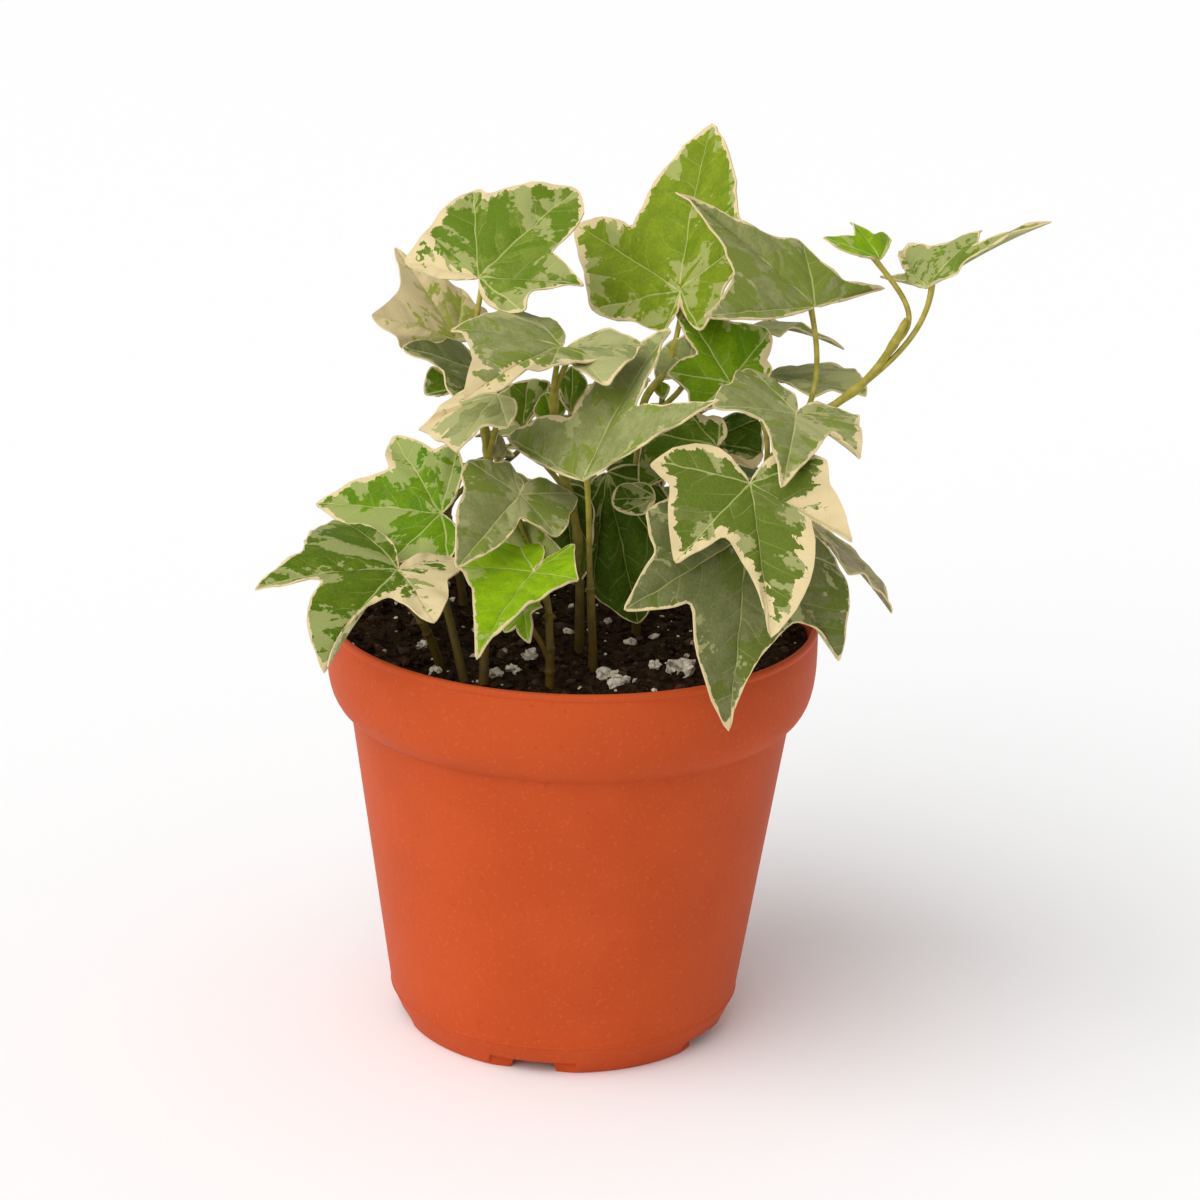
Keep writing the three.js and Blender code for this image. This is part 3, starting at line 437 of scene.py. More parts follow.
def select_open_edges():
    bpy.ops.mesh.select_all(action="DESELECT")
    bpy.ops.mesh.select_mode(type="EDGE")
    bpy.ops.mesh.select_non_manifold()


def fill_and_leave():
    """Fills the selected ring, turns all faces outwards and leaves edit mode."""
    bpy.ops.mesh.edge_face_add()
    bpy.ops.mesh.select_all(action="SELECT")
    bpy.ops.mesh.normals_make_consistent(inside=False)
    bpy.ops.object.mode_set(mode="OBJECT")


# ---- pot

def turned_shell(name, outline):
    """A closed round body with the given outline, filled flat at both ends."""
    deselect()
    first_radius, first_height = outline[0]
    bpy.ops.mesh.primitive_circle_add(
        vertices=POT_SIDES, radius=first_radius * MM, location=(0, 0, 0), enter_editmode=True
    )
    bpy.ops.mesh.select_all(action="SELECT")
    bpy.ops.transform.translate(value=(0, 0, first_height * MM))
    for (last_radius, last_height), (radius, height) in zip(outline, outline[1:]):
        rise = (height - last_height) * MM
        bpy.ops.mesh.extrude_edges_move(TRANSFORM_OT_translate={"value": (0, 0, rise)})
        size = radius / last_radius
        bpy.ops.transform.resize(value=(size, size, 1), center_override=(0, 0, height * MM))
    bpy.ops.mesh.edge_face_add()
    select_open_edges()
    fill_and_leave()
    return new_piece(name)


def turned(x, y, angle):
    """A point in millimetres turned about the pot's axis, in metres."""
    turn = math.radians(angle)
    return (
        (x * math.cos(turn) - y * math.sin(turn)) * MM,
        (x * math.sin(turn) + y * math.cos(turn)) * MM,
    )


def wedge(name, inner_radius, foot_width, top_width, angle):
    """A cutter that reaches through the foot ring, wider at the foot than at the top."""
    deselect()
    bpy.ops.mesh.primitive_cube_add(size=1, location=(0, 0, 0))
    cutter = new_piece(name)
    corners = []
    for x, y, z in places(cutter):
        radius = CUTTER_REACH if x > 0 else inner_radius
        level = NOTCH_HEIGHT if z > 0 else CUTTER_FOOT
        across = math.copysign((top_width if z > 0 else foot_width) / 2, y)
        corners.append((*turned(radius, across, angle), level * MM))
    place_at(cutter, corners)
    return cutter


def drill(angle):
    deselect()
    bpy.ops.mesh.primitive_cylinder_add(
        vertices=32, radius=DRAIN_HOLE_RADIUS * MM, depth=DRILL_LENGTH * MM,
        location=(*turned(DRAIN_HOLE_CIRCLE, 0, angle), DRILL_MIDDLE * MM),
    )
    return new_piece("drain_drill")


def cut(piece, cutter):
    only(piece)
    modifier = piece.modifiers.new("cut", "BOOLEAN")
    modifier.operation = "DIFFERENCE"
    modifier.solver = "EXACT"
    modifier.object = cutter
    bpy.ops.object.modifier_apply(modifier=modifier.name)
    bpy.data.objects.remove(cutter)


def make_pot():
    pot = turned_shell("terracotta_pot", POT_OUTLINE)
    for step in range(NOTCH_COUNT):
        angle = FIRST_NOTCH_ANGLE + step * 360 / NOTCH_COUNT
        for notch_step in NOTCH_STEPS:
            cut(pot, wedge(*notch_step, angle))
        cut(pot, drill(angle))
    rounding = pot.modifiers.new("worn_edges", "BEVEL")
    rounding.width = NOTCH_EDGE_ROUND * MM
    rounding.segments = 2
    rounding.limit_method = "ANGLE"
    rounding.angle_limit = math.radians(ROUNDED_FROM)
    rounding.use_clamp_overlap = True
    apply_modifiers(pot)
    smooth(pot, 32)
    pot.data.materials.append(terracotta_plastic())
    return pot


# ---- soil

def soil_height(x, y):
    """Height of the soil at a place, in millimetres: slow rises and a crumbly surface."""
    rises = math.sin(0.31 * x + 0.7) * math.cos(0.27 * y) + 0.6 * math.sin(0.53 * y - 0.41 * x)
    coarse = noise.noise(Vector((x * 0.33, y * 0.33, 1.7)))
    lumps = noise.voronoi(Vector((x * 0.62, y * 0.62, 0.3)))[0][0]
    fine = noise.noise(Vector((x * 1.5, y * 1.5, 5.1)))
    return SOIL_TOP + 0.54 * rises + 0.7 * coarse - 0.9 * lumps + 0.35 * fine + 0.4


def make_soil_bed():
    deselect()
    bpy.ops.mesh.primitive_grid_add(
        x_subdivisions=SOIL_CELLS, y_subdivisions=SOIL_CELLS, size=2, location=(0, 0, 0)
    )
    bed = new_piece("soil_bed")
    points = []
    for share_x, share_y, _ in places(bed):
        # The square grid is carried onto a disc, with cells of nearly one size.
        x = share_x * math.sqrt(1 - share_y * share_y / 2) * SOIL_RADIUS
        y = share_y * math.sqrt(1 - share_x * share_x / 2) * SOIL_RADIUS
        points.append((x * MM, y * MM, soil_height(x, y) * MM))
    place_at(bed, points)
    edit(bed)
    select_open_edges()
    last_radius = SOIL_RADIUS
    for radius, height in BED_RINGS:
        bpy.ops.mesh.extrude_edges_move(TRANSFORM_OT_translate={"value": (0, 0, -2 * MM)})
        size = radius / last_radius
        bpy.ops.transform.resize(value=(size, size, 0), center_override=(0, 0, height * MM))
        last_radius = radius
    fill_and_leave()
    bed.data.materials.append(potting_soil())
    smooth(bed, 60)
    return bed


def grain_shape(name, rough, fineness, seed, material):
    """An irregular grain of radius 1, the pattern for its copies."""
    deselect()
    bpy.ops.mesh.primitive_ico_sphere_add(subdivisions=fineness, radius=1, location=(0, 0, 0))
    piece = new_piece(name)
    chance = random.Random(seed)
    stretch = [chance.uniform(0.8, 1.3), chance.uniform(0.75, 1.1), chance.uniform(0.6, 0.9)]
    offset = Vector((seed * 3.7, seed * 1.3, 0))
    points = []
    for corner in places(piece):
        way = Vector(corner)
        reach = 1 + rough * noise.noise(way * 1.6 + offset)
        points.append([way[axis] * stretch[axis] * reach for axis in range(3)])
    place_at(piece, points)
    piece.data.materials.append(material)
    smooth(piece, 40)
    return piece


def lay_grain(shape, x, y, radius, sink, chance):
    """A copy of a grain, turned at random and pressed a little into the soil."""
    piece = bpy.data.objects.new(shape.name, shape.data.copy())
    bpy.context.collection.objects.link(piece)
    turn = Matrix.Rotation(chance.uniform(0, math.tau), 4, "Z")
    turn = turn @ Matrix.Rotation(chance.uniform(-0.6, 0.6), 4, "X")
    middle = Vector((x, y, soil_height(x, y) + radius * sink)) * MM
    piece.data.transform(Matrix.Translation(middle) @ turn @ Matrix.Scale(radius * MM, 4))
    return piece


def scattered(chance):
    """A random place on the soil, clear of the pot's wall."""
    reach = (SOIL_RADIUS - WALL_CLEARANCE) * math.sqrt(chance.random())
    turn = chance.uniform(0, math.tau)
    return reach * math.cos(turn), reach * math.sin(turn)


def make_soil():
    chance = random.Random(5)
    shapes = {
        "large": [grain_shape("perlite_grain", 0.75, 3, seed, perlite()) for seed in range(5)],
        "small": [grain_shape("perlite_bit", 0.6, 1, seed, perlite()) for seed in range(4)],
        "earth": [grain_shape("crumb", 0.7, 1, seed, potting_soil()) for seed in range(6)],
        "bark": [grain_shape("bark_bit", 0.9, 1, seed, bark_crumb()) for seed in range(4)],
    }
    parts = [make_soil_bed()]
    for x, y, radius in PERLITE:
        parts.append(lay_grain(chance.choice(shapes["large"]), x, y, radius, 0.25, chance))
    for _ in range(SMALL_PERLITE):
        radius = 0.3 + 0.9 * chance.random() ** 3
        shape = chance.choice(shapes["small"])
        parts.append(lay_grain(shape, *scattered(chance), radius, 0.3, chance))
    for _ in range(CRUMBS):
        radius = 0.5 + 1.1 * chance.random() ** 2
        kind = "bark" if chance.random() < BARK_SHARE else "earth"
        shape = chance.choice(shapes[kind])
        parts.append(lay_grain(shape, *scattered(chance), radius, 0.15, chance))
    for kind in shapes.values():
        for shape in kind:
            bpy.data.objects.remove(shape)
    return join(parts, "soil_and_perlite")


# ---- ivy leaf

def polar(angle, length):
    turn = math.radians(angle)
    return np.array([length * math.sin(turn), length * math.cos(turn)])


def lengths(rows):
    return np.sqrt((rows ** 2).sum(axis=-1))


def edge_shares():
    """Places along an edge, closer together towards its two corners."""
    evenly = [step / EDGE_STEPS for step in range(1, EDGE_STEPS)]
    return [(even + (1 - math.cos(math.pi * even)) / 2) / 2 for even in evenly]


def swollen_edge(start, end, bulge):
    """The points between two corners of the outline, on an edge that swells outwards."""
    along = end - start
    outwards = np.array([-along[1], along[0]])
    points = []
    for share in edge_shares():
        points.append(start + along * share + outwards * bulge * 4 * share * (1 - share))
    return points


def sinus_after(lobe, next_lobe):
    if len(lobe) == 4:
        return polar(lobe[2], lobe[3])
    depth = SINUS_DEPTH if lobe[0] == 0 or next_lobe[0] == 0 else SIDE_SINUS_DEPTH
    return polar((lobe[0] + next_lobe[0]) / 2, depth * math.sqrt(lobe[1] * next_lobe[1]))


def blade_outline(blade):
    """The margin from left of the petiole to right of it.

    Gives its points, how near each is to a lobe's tip (1) or a sinus (0), and for each strip
    between two of them the lobe that it belongs to.
    """
    lobes = blade["lobes"]
    sinuses = [sinus_after(lobe, next_lobe) for lobe, next_lobe in zip(lobes, lobes[1:])]
    corners = [np.zeros(2), *sinuses, np.zeros(2)]
    points, nearness, strips = [], [], []
    rising = edge_shares()
    for index, lobe in enumerate(lobes):
        tip = polar(*lobe[:2])
        lean = blade["lean"] if lobe[0] == 0 else 0
        left_swell, right_swell = blade["swell"][2 * index:2 * index + 2]
        points += swollen_edge(corners[index], tip, left_swell - lean) + [tip]
        points += swollen_edge(tip, corners[index + 1], right_swell + lean)
        nearness += rising + [1] + rising[::-1]
        strips += [index] * (2 * EDGE_STEPS - 2)
        if index < len(lobes) - 1:
            points.append(corners[index + 1])
            nearness.append(0)
            strips += [index, index + 1]
    return np.array(points), np.array(nearness, float), strips


def corners_of(nearness):
    """Where the tips and sinuses are in the outline."""
    return np.flatnonzero((nearness == 0) | (nearness == 1))


def softened(points, nearness, blunt):
    """Rounds the sinuses and the tips, and keeps both where they were."""
    soft = points.copy()
    pull = np.where(nearness[1:-1] < 0.3, SINUS_PULL, blunt)[:, None]
    for _ in range(SOFTENING):
        middle = (soft[:-2] + soft[2:]) / 2
        soft[1:-1] += (middle - soft[1:-1]) * pull
    moved = points - soft
    for index in corners_of(nearness):
        gap = lengths(points - points[index])
        soft += moved[index] * np.exp(-(gap / CORNER_REACH) ** 2)[:, None]
    return soft


def blade_frame(aim):
    """Along the midrib, to its right, and out of the upper face."""
    heading, rise, roll = (math.radians(angle) for angle in aim)
    along = Vector((
        math.cos(heading) * math.cos(rise), math.sin(heading) * math.cos(rise), math.sin(rise)
    ))
    level = Vector((math.sin(heading), -math.cos(heading), 0))
    right = Matrix.Rotation(roll, 3, along) @ level
    return np.array(along), np.array(right), np.array(right.cross(along))


def laid_out(blade, flat, height):
    """Carries flat points onto the folded and drooping blade."""
    along, right, up = blade_frame(blade["aim"])
    fold = math.radians(BLADE_FOLD)
    central_length = next(lobe[1] for lobe in blade["lobes"] if lobe[0] == 0)
    droop = blade["droop"] * (flat ** 2).sum(axis=-1) / central_length
    lift = np.abs(flat[..., 0]) * math.sin(fold) - droop + height
    return (
        np.array(blade["at"])
        + flat[..., 1:2] * along
        + flat[..., 0:1] * math.cos(fold) * right
        + lift[..., None] * up
    )


def distance_to_margin(flat, margin):
    """How far each flat point is from the outline, both in millimetres."""
    closed = np.vstack([[0, 0], margin, [0, 0]])
    start, end = closed[:-1], closed[1:]
    along = end - start
    spread = (along ** 2).sum(axis=1)
    offset = flat[:, None, :] - start[None]
    share = np.clip((offset * along).sum(axis=2) / spread, 0, 1)
    return lengths(offset - share[..., None] * along).min(axis=1)


def blade_relief(blade, margin, nearness, column, row_share):
    """The blade's own relief: valleys along the veins and ripples along the margin."""
    from_tip = 1 - nearness[column]
    length = lengths(margin[column]) * row_share
    valley = VALLEY * length * (2 * from_tip - from_tip ** 2)
    walked = np.concatenate([[0], np.cumsum(lengths(np.diff(margin, axis=0)))])
    phase = blade["at"][0] + blade["at"][2]
    wave = np.sin(walked[column] * math.tau / RIPPLE_LENGTH + phase)
    wave = wave + 0.6 * np.sin(walked[column] * math.tau / (RIPPLE_LENGTH * 0.57) + 2 * phase)
    return valley + RIPPLE * wave * row_share ** 4


def store(mesh, name, values, kind="FLOAT", field="value"):
    layer = mesh.attributes.new(name, kind, "POINT")
    layer.data.foreach_set(field, np.asarray(values, np.float32))


def store_colour(mesh, name, colour):
    store(mesh, name, np.tile(colour, len(mesh.vertices)), "FLOAT_COLOR", "color")


def map_veins(mesh, blade, strips, column, flat):
    """Lays the UV map out along and across each lobe's own vein, one unit further per lobe."""
    first = int(abs(blade["at"][0]) * 2 + abs(blade["at"][1])) % 50
    ways = [polar(lobe[0], 1) for lobe in blade["lobes"]]
    layer = mesh.uv_layers[0]
    layer.name = "vein"
    for face in mesh.polygons:
        lobe = strips[min(column[corner] for corner in face.vertices)]
        way = ways[lobe]
        for loop, corner in zip(face.loop_indices, face.vertices):
            x, y = flat[corner]
            along = x * way[0] + y * way[1]
            across = x * way[1] - y * way[0]
            layer.data[loop].uv = (
                first + lobe + VEIN_START + along * VEIN_SCALE, 0.5 + across * VEIN_SCALE
            )


def cream_widths(blade, nearness):
    """The pale margin's width at each point of the outline, blended from corner to corner."""
    cream = blade["cream"]
    if len(cream) == len(blade["lobes"]):
        between = [(left + right) / 2 for left, right in zip(cream, cream[1:])]
        cream = [width for pair in zip(cream, between) for width in pair] + [cream[-1]]
    return np.interp(np.arange(len(nearness)), corners_of(nearness), cream)


def make_blade(blade):
    margin, nearness, strips = blade_outline(blade)
    margin = softened(margin, nearness, blade["blunt"])
    columns = len(margin) - 1
    deselect()
    bpy.ops.mesh.primitive_grid_add(
        x_subdivisions=columns, y_subdivisions=BLADE_ROWS, size=1, location=(0, 0, 0)
    )
    piece = new_piece("blade")
    start = places(piece)
    column = np.rint((start[:, 0] + 0.5) * columns).astype(int)
    row_share = 1 - (1 - (start[:, 1] + 0.5)) ** ROW_CROWDING
    flat = margin[column] * row_share[:, None]
    relief = blade_relief(blade, margin, nearness, column, row_share)
    place_at(piece, laid_out(blade, flat, relief) * MM)
    mesh = piece.data
    map_veins(mesh, blade, strips, column, flat)
    inwards = np.clip(row_share / CREAM_FULL, 0, 1)
    store(mesh, "margin", distance_to_margin(flat, margin))
    store(mesh, "cream", cream_widths(blade, nearness)[column] * inwards)
    store_colour(mesh, "tone", srgb(*TONES[blade["tone"]]))
    store_colour(mesh, "patches", (blade["sage"], blade["dark"], 0, 1))
    edit(piece)
    bpy.ops.mesh.select_all(action="SELECT")
    bpy.ops.mesh.remove_doubles(threshold=SAME_PLACE * MM)
    bpy.ops.object.mode_set(mode="OBJECT")
    mesh.materials.append(leaf_upper())
    mesh.materials.append(leaf_underside())
    wall = piece.modifiers.new("thickness", "SOLIDIFY")
    wall.thickness = BLADE_THICKNESS * MM
    wall.offset = 0
    wall.material_offset = 1
    apply_modifiers(piece)
    return piece


# ---- stems and petioles

def through(points, samples):
    """A smooth curve through the points of a stem's route, as evenly spaced samples."""
    route = [Vector(point) for point in points]
    route.insert(0, 2 * route[0] - route[1])
    route.append(2 * route[-1] - route[-2])
    dense = []
    for before, start, end, after in zip(route, route[1:], route[2:], route[3:]):
        gaps = [math.sqrt((b - a).length) for a, b in ((before, start), (start, end), (end, after))]
        leaving = (start - before) / gaps[0] - (end - before) / (gaps[0] + gaps[1])
        leaving = (leaving + (end - start) / gaps[1]) * gaps[1]
        arriving = (end - start) / gaps[1] - (after - start) / (gaps[1] + gaps[2])
        arriving = (arriving + (after - end) / gaps[2]) * gaps[1]
        for step in range(CURVE_STEPS):
            share = step / CURVE_STEPS
            square, cube = share ** 2, share ** 3
            dense.append(
                (2 * cube - 3 * square + 1) * start + (cube - 2 * square + share) * leaving
                + (3 * square - 2 * cube) * end + (cube - square) * arriving
            )
    dense.append(route[-2])
    walked = [0]
    for a, b in zip(dense, dense[1:]):
        walked.append(walked[-1] + (b - a).length)
    evenly = np.linspace(0, walked[-1], samples + 1)
    axes = [np.interp(evenly, walked, [point[axis] for point in dense]) for axis in range(3)]
    return [Vector(point) for point in zip(*axes)]


def stalk(name, points, radii):
    """A round stalk along the points, as thick as its radii say."""
    deselect()
    bpy.ops.curve.primitive_nurbs_path_add(location=(0, 0, 0))
    piece = new_piece(name)
    line = piece.data.splines[0]
    line.points.add(len(points) - len(line.points))
    for knot, point, radius in zip(line.points, points, radii):
        knot.co = (*(Vector(point) * MM), 1)
        knot.radius = radius
    line.type = "POLY"
    piece.data.bevel_depth = MM
    piece.data.bevel_resolution = 2
    piece.data.use_fill_caps = True
    piece.data.twist_mode = "MINIMUM"
    bpy.ops.object.convert(target="MESH")
    piece = bpy.context.object
    piece.data.materials.append(young_stalk())
    smooth(piece, 60)
    return piece


def make_petiole(blade, line):
    """The petiole leaves its stem upwards and comes into the blade from below."""
    along, _, up = (Vector(way) for way in blade_frame(blade["aim"]))
    index = blade["on"] * STEM_SAMPLES
    low = min(int(index), STEM_SAMPLES - 1)
    root = line[low].lerp(line[low + 1], index - low)
    leaving = (line[low + 1] - line[low]).normalized()
    end = Vector(laid_out(blade, np.array([0, PETIOLE_INSET]), np.array(0.0)))
    reach = (end - root).length * PETIOLE_REACH
    arriving = ((along + up) / 2 + Vector((0, 0, PETIOLE_LIFT))).normalized()
    bow = Vector((blade["bow"][0], 0, blade["bow"][1]))
    knots = [root, root + leaving * reach + bow, end - arriving * reach + bow, end]
    points, radii = [], []
    for step in range(PETIOLE_SAMPLES + 1):
        share = step / PETIOLE_SAMPLES
        rest = 1 - share
        weights = [rest ** 3, 3 * share * rest ** 2, 3 * share ** 2 * rest, share ** 3]
        point = Vector((0, 0, 0))
        for weight, knot in zip(weights, knots):
            point += weight * knot
        points.append(point)
        widening = 0.25 * math.exp(-(share / 0.08) ** 2) + 0.18 * math.exp(-(rest / 0.1) ** 2)
        radii.append(PETIOLE_RADIUS * (1 + widening))
    return stalk("petiole", points, radii)


def make_stem(line, leaves):
    """The stem, thinner upwards, with a node at each leaf and a narrow end."""
    radii = []
    for index in range(len(line)):
        share = index / STEM_SAMPLES
        radius = STEM_RADIUS * (1 - STEM_TAPER * share)
        for blade in leaves:
            radius += NODE_SWELL * math.exp(-((share - blade["on"]) / NODE_LENGTH) ** 2)
        radii.append(radius)
    radii[-1] = STEM_END_RADIUS
    return stalk("stem", line, radii)


def make_ivy_stem(name, route, leaves):
    line = through(route, STEM_SAMPLES)
    parts = [make_stem(line, leaves)]
    for blade in leaves:
        parts.append(make_petiole(blade, line))
        parts.append(make_blade(blade))
    piece = join(parts, "ivy_" + name)
    smooth(piece, 45)
    return piece


# ---- finishes

class Value:
    """A value inside a material, which takes part in sums as a number does.

    mat: the recipe of that material; socket: the node output that gives the value.
    """

    def __init__(self, mat, socket):
        self.mat = mat
        self.socket = socket

    def then(self, operation, other=0.0):
        return self.mat.math(operation, self, other)

    def __add__(self, other):
        return self.then("ADD", other)

    def __sub__(self, other):
        return self.then("SUBTRACT", other)

    def __rsub__(self, other):
        return self.mat.math("SUBTRACT", other, self)

    def __mul__(self, other):
        return self.then("MULTIPLY", other)

    def __truediv__(self, other):
        return self.then("DIVIDE", other)

    def __abs__(self):
        return self.then("ABSOLUTE")

    def shifted(self):
        """The same coordinates moved, for a pattern that has nothing to do with the first."""
        inputs = {"Vector": self, "Location": (0.37, 0.11, 0.23)}
        return self.mat.step("Mapping", "Vector", inputs)

    def part(self, axis):
        return self.mat.step("SeparateXYZ", axis, {0: self})

    def noise(self, size, detail=2.0, rough=0.5):
        inputs = {"Vector": self, "Scale": 1 / (size * MM), "Detail": detail, "Roughness": rough}
        return self.mat.step("TexNoise", "Fac", inputs)

    def cells(self, size, feature, output):
        inputs = {"Vector": self, "Scale": 1 / (size * MM)}
        return self.mat.step("TexVoronoi", output, inputs, feature=feature)

    def step_up(self, start, end):
        """0 below start, 1 above end, with a soft step between them."""
        inputs = {"Value": self, "From Min": start, "From Max": end}
        return self.mat.step("MapRange", "Result", inputs, interpolation_type="SMOOTHSTEP")


class Recipe:
    """The node tree of one material, built up a step at a time."""

    def __init__(self, name):
        self.material = bpy.data.materials.new(name)
        self.material.use_nodes = True
        self.tree = self.material.node_tree
        self.shader = self.tree.nodes["Principled BSDF"]

    def feed(self, socket, value):
        if isinstance(value, Value):
            self.tree.links.new(value.socket, socket)
        else:
            socket.default_value = value

    def step(self, kind, output, inputs=None, **settings):
        """Adds a node with its settings and what goes into it, and gives one of its outputs."""
        node = self.tree.nodes.new("ShaderNode" + kind)
        for setting, value in settings.items():
            setattr(node, setting, value)
        for socket, value in (inputs or {}).items():
            self.feed(node.inputs[socket], value)
        return Value(self, node.outputs[output])

    def place(self):
        return self.step("TexCoord", "Object")

    def attribute(self, name, output="Fac"):
        return self.step("Attribute", output, attribute_name=name)

    def math(self, operation, first, second):
        return self.step("Math", 0, {0: first, 1: second}, operation=operation)

    def mix(self, share, first, second, blend="MIX"):
        inputs = {0: share, 6: first, 7: second}
        return self.step("Mix", 2, inputs, data_type="RGBA", blend_type=blend)

    def tinted(self, first, second):
        return self.mix(1.0, first, second, "MULTIPLY")

    def surface(self, colour, roughness, specular=0.5):
        self.feed(self.shader.inputs["Base Color"], colour)
        self.feed(self.shader.inputs["Roughness"], roughness)
        self.feed(self.shader.inputs["Specular IOR Level"], specular)

    def bump(self, height, depth, strength=1.0):
        inputs = {"Strength": strength, "Distance": depth * MM, "Height": height}
        self.feed(self.shader.inputs["Normal"], self.step("Bump", "Normal", inputs))


def finish(make):
    """A finish has its function's name and is made the first time that a piece asks for it."""
    made = []

    def get():
        if not made:
            mat = Recipe(make.__name__)
            made.append(mat.material)
            make(mat)
        return made[0]

    return get


@finish
def terracotta_plastic(mat):
    place = mat.place()
    cloud = place.noise(22, 4).step_up(0.35, 0.7)
    body = mat.mix(cloud, srgb(189, 75, 30), srgb(195, 79, 33))
    speck = place.noise(0.9).step_up(0.58, 0.72)
    body = mat.mix(speck * 0.4, body, srgb(208, 98, 54))
    pit = place.noise(1.7).step_up(0.68, 0.75)
    mat.surface(mat.mix(pit * 0.35, body, srgb(160, 60, 32)), 0.55, 0.12)
    mat.bump(place.noise(0.7, 3), 0.05, 0.35)


@finish
def potting_soil(mat):
    place = mat.place()
    mottle = place.noise(1.8, 5, 0.65).step_up(0.35, 0.7)
    earth = mat.mix(mottle, srgb(24, 14, 6), srgb(66, 46, 28))
    fleck = place.noise(0.8, 1).step_up(0.7, 0.76)
    mat.surface(mat.mix(fleck * 0.55, earth, srgb(130, 110, 86)), 0.9, 0.08)
    mat.bump(place.noise(0.6, 4), 0.3)


@finish
def bark_crumb(mat):
    place = mat.place()
    lines = place.noise(0.9, 4)
    mat.surface(mat.mix(lines, srgb(40, 26, 18), srgb(92, 62, 42)), 0.85, 0.3)
    mat.bump(place.noise(0.5, 3), 0.2)


@finish
def perlite(mat):
    place = mat.place()
    stain = place.noise(1.1, 3).step_up(0.45, 0.72)
    mat.surface(mat.mix(stain, srgb(232, 220, 202), srgb(150, 128, 104)), 0.9, 0.2)
    mat.bump(place.noise(0.5, 3), 0.35)


@finish
def young_stalk(mat):
    """Brown near the soil and green above it."""
    place = mat.place()
    up = place.part("Z").step_up(0.092, 0.138)
    streak = place.noise(2.5, 3)
    green = mat.mix(streak.step_up(0.35, 0.7), srgb(146, 138, 44), srgb(178, 162, 72))
    brown = mat.mix(streak, srgb(66, 50, 16), srgb(104, 82, 26))
    mat.surface(mat.mix(up, brown, green), 0.5, 0.2)
    mat.bump(place.noise(0.8), 0.1, 0.5)


@finish
def studio_white(mat):
    mat.surface(srgb(250, 250, 250), 0.9)


def vein_places(mat, place):
    """Along and across the nearest main vein in millimetres, and the lobe's own number."""
    vein_map = mat.step("UVMap", "UV", uv_map="vein")
    unit = vein_map.part("X")
    along = (unit.then("FRACT") - VEIN_START) / VEIN_SCALE
    sway = (place.noise(6, 1) - 0.5) * VEIN_SWAY
    across = (vein_map.part("Y") - 0.5) / VEIN_SCALE + sway
    return along, across, unit.then("FLOOR")


def leaf_veins(place, along, across):
    """Main veins, side veins, net and quilting, 0 to 1, and the way along a side vein."""
    away = abs(across)
    width = VEIN_WIDTH - along * VEIN_TAPER
    main = away.step_up(width + VEIN_SOFTNESS, width)
    slanted = along - away * BRANCH_SLANT
    beat = slanted / BRANCH_SPACING + across.then("SIGN") * BRANCH_OFFSET
    beat = beat + place.noise(9, 1) * 0.9
    near = abs(beat.then("FRACT") - 0.5)
    fading = away.step_up(BRANCH_FADE, 0.5)
    branch = near.step_up(0.035, 0.01) * fading
    net = place.cells(1.3, "DISTANCE_TO_EDGE", "Distance").step_up(0.08, 0.0)
    quilt = near.step_up(0.0, 0.4) * fading
    return main, branch, net, quilt, slanted


def stripes(mat, slanted, across, lobe, size, shift):
    """A pattern drawn out along the side veins."""
    layer = lobe * 0.0173 + across.then("SIGN") * 0.006 + shift
    spot = {0: slanted * MM, 1: abs(across) * (0.4 * MM), 2: layer}
    return mat.step("CombineXYZ", 0, spot).noise(size)


def patch(level, start, amount):
    """1 inside the patches, which take up more of the blade as the amount grows."""
    start = start - amount * 0.24
    return level.step_up(start, start + 0.012)


def leaf_pattern(mat):
    """The blade's green, its pale and dark patches, its veins and its cream margin."""
    place = mat.place()
    along, across, lobe = vein_places(mat, place)
    main, branch, net, quilt, slanted = leaf_veins(place, along, across)
    striped = (mat, slanted, across, lobe)
    chance = place.cells(0.9, "F1", "Color")
    jag = (chance.part("X") - 0.5) * 0.05
    other_jag = (chance.part("Y") - 0.5) * 0.05

    ragged = stripes(*striped, 3.6, 0.31).step_up(0.38, 0.62) * 0.8 + 0.35 + jag * 8
    reach = (mat.attribute("cream") * ragged).then("MAXIMUM", 0.05)
    gap = mat.attribute("margin") - reach
    cream = gap.step_up(0.1, 0.0)
    outer = gap.step_up(6.5, 0.5) * 0.1

    amounts = mat.attribute("patches", "Color")
    level = (stripes(*striped, 5.5, 0.0) + place.noise(11, 1)) * 0.5 + jag + outer
    sage = patch(level, 0.68, amounts.part("X"))
    cloud = place.shifted().noise(10, 1)
    level = (stripes(*striped, 5.0, 0.12) + cloud) * 0.5 + other_jag
    dark = patch(level, 0.64, amounts.part("Y"))

    tone = mat.attribute("tone", "Color")
    fine = place.noise(0.7).step_up(0.3, 0.7)
    green = mat.mix(fine, mat.tinted(tone, srgb(238, 238, 232)), tone)
    cloudy = place.noise(4, 3).step_up(0.35, 0.7)
    green = mat.mix(cloudy, mat.tinted(green, srgb(228, 232, 215)), green)
    green = mat.mix(sage, green, mat.mix(0.55, tone, srgb(176, 174, 118)))
    green = mat.mix(dark, green, mat.tinted(tone, srgb(208, 224, 150)))
    vein = mat.mix(0.5, green, srgb(214, 218, 138))
    for veins, strength in ((net, 0.1), (branch, 0.3), (main, 0.9)):
        green = mat.mix(veins * strength, green, vein)
    ivory = mat.mix(place.noise(5), srgb(224, 206, 160), srgb(212, 190, 140))
    return mat.mix(cream, green, ivory), quilt - main * 0.5 - net * 0.12


@finish
def leaf_upper(mat):
    pattern, height = leaf_pattern(mat)
    mat.surface(pattern, 0.55, 0.1)
    mat.bump(height, 0.3, 0.7)


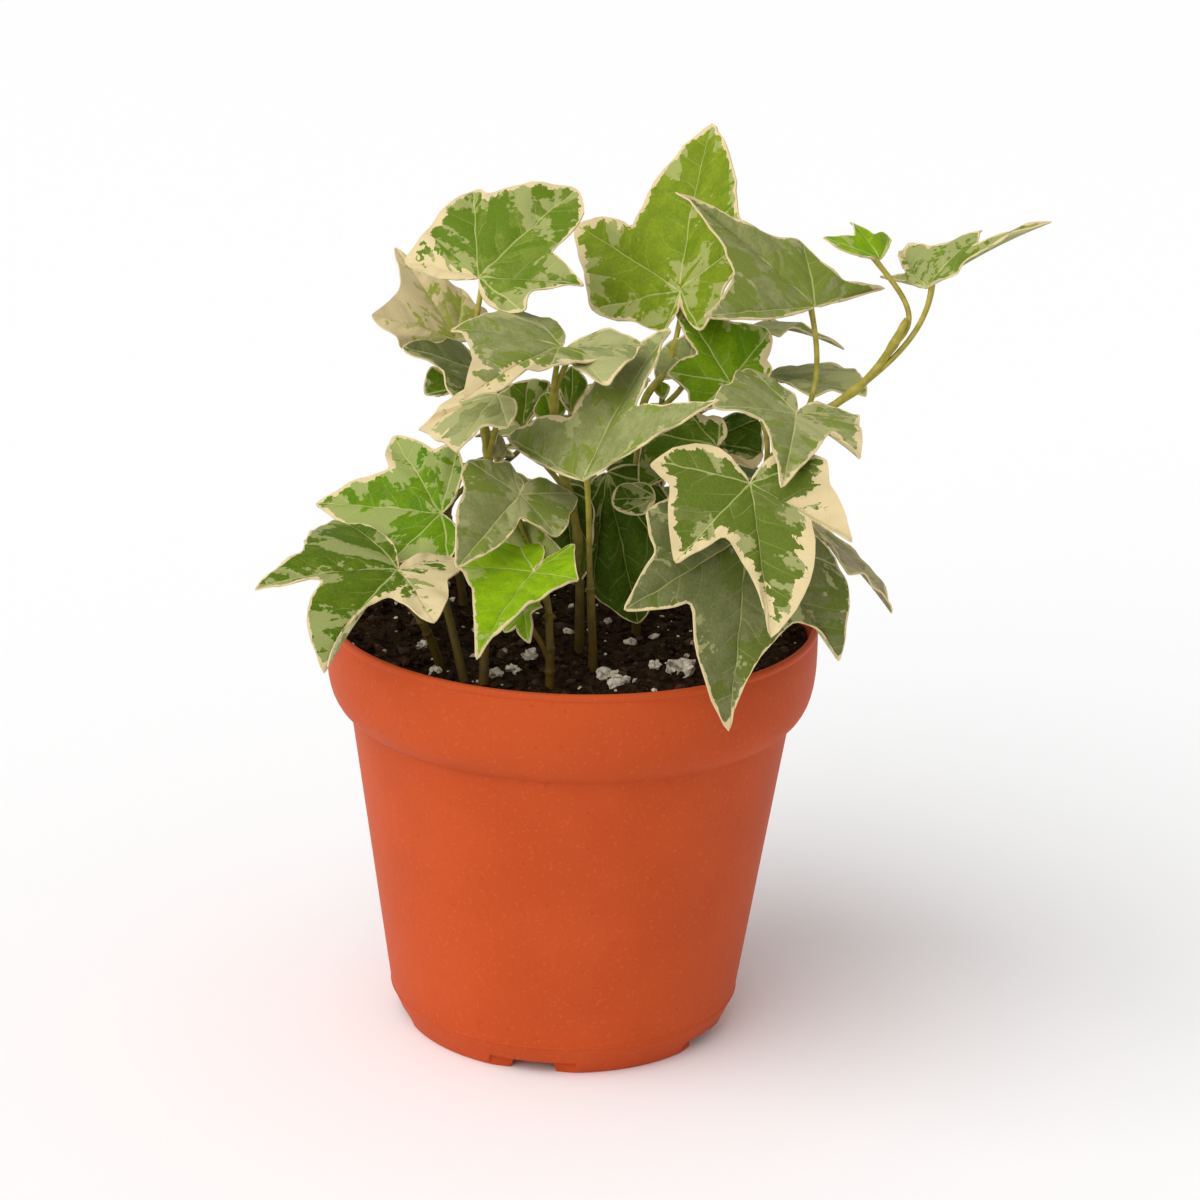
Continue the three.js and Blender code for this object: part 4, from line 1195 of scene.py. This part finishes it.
@finish
def leaf_underside(mat):
    pattern, height = leaf_pattern(mat)
    mat.surface(mat.mix(0.45, pattern, srgb(160, 168, 122)), 0.62, 0.12)
    mat.bump(height * -1, 0.3, 0.8)


# ---- floor, light and camera

def make_floor():
    deselect()
    bpy.ops.mesh.primitive_plane_add(size=8, location=(0, 0, 0))
    floor = new_piece("floor")
    floor.data.materials.append(studio_white())


def light_studio():
    """An even white room with a broad soft lamp high on the left in front."""
    world = bpy.data.worlds.new("white_room")
    bpy.context.scene.world = world
    world.use_nodes = True
    background = world.node_tree.nodes["Background"]
    background.inputs["Color"].default_value = (1, 1, 1, 1)
    background.inputs["Strength"].default_value = ROOM_STRENGTH
    bpy.ops.object.light_add(type="SUN", location=(0, 0, 1))
    lamp = bpy.context.object
    lamp.name = "soft_lamp"
    lamp.data.energy = LAMP_STRENGTH
    lamp.data.angle = math.radians(LAMP_SPREAD)
    lamp.rotation_euler = Vector(LAMP_WAY).to_track_quat("-Z", "Y").to_euler()


def set_camera():
    yaw, pitch, roll = CAMERA_YAW, CAMERA_PITCH, CAMERA_ROLL
    forward = Vector((
        math.sin(yaw) * math.cos(pitch), math.cos(yaw) * math.cos(pitch), -math.sin(pitch)
    ))
    level = Vector((math.cos(yaw), -math.sin(yaw), 0))
    upright = level.cross(forward)
    right = math.cos(roll) * level + math.sin(roll) * upright
    top = math.cos(roll) * upright - math.sin(roll) * level
    bpy.ops.object.camera_add(location=(0, 0, 0))
    camera = bpy.context.object
    camera.name = "photo_camera"
    camera.data.lens = CAMERA_LENS
    camera.data.sensor_width = SENSOR_WIDTH
    camera.data.clip_start = 0.01
    turn = Matrix((right, top, -forward)).transposed().to_4x4()
    camera.matrix_world = Matrix.Translation(Vector(CAMERA_PLACE) * MM) @ turn
    bpy.context.scene.camera = camera


# ---- the potted ivy

pot = make_pot()
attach(pot, "root")
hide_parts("pot")

soil = make_soil()
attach(soil, "root")
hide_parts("soil")

for stem_name, (route, leaves) in STEMS.items():
    ivy = make_ivy_stem(stem_name, route, leaves)
    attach(ivy, "root")
    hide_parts("ivy_stem_" + stem_name)

make_floor()
light_studio()
set_camera()
bpy.context.scene.view_settings.view_transform = "Standard"
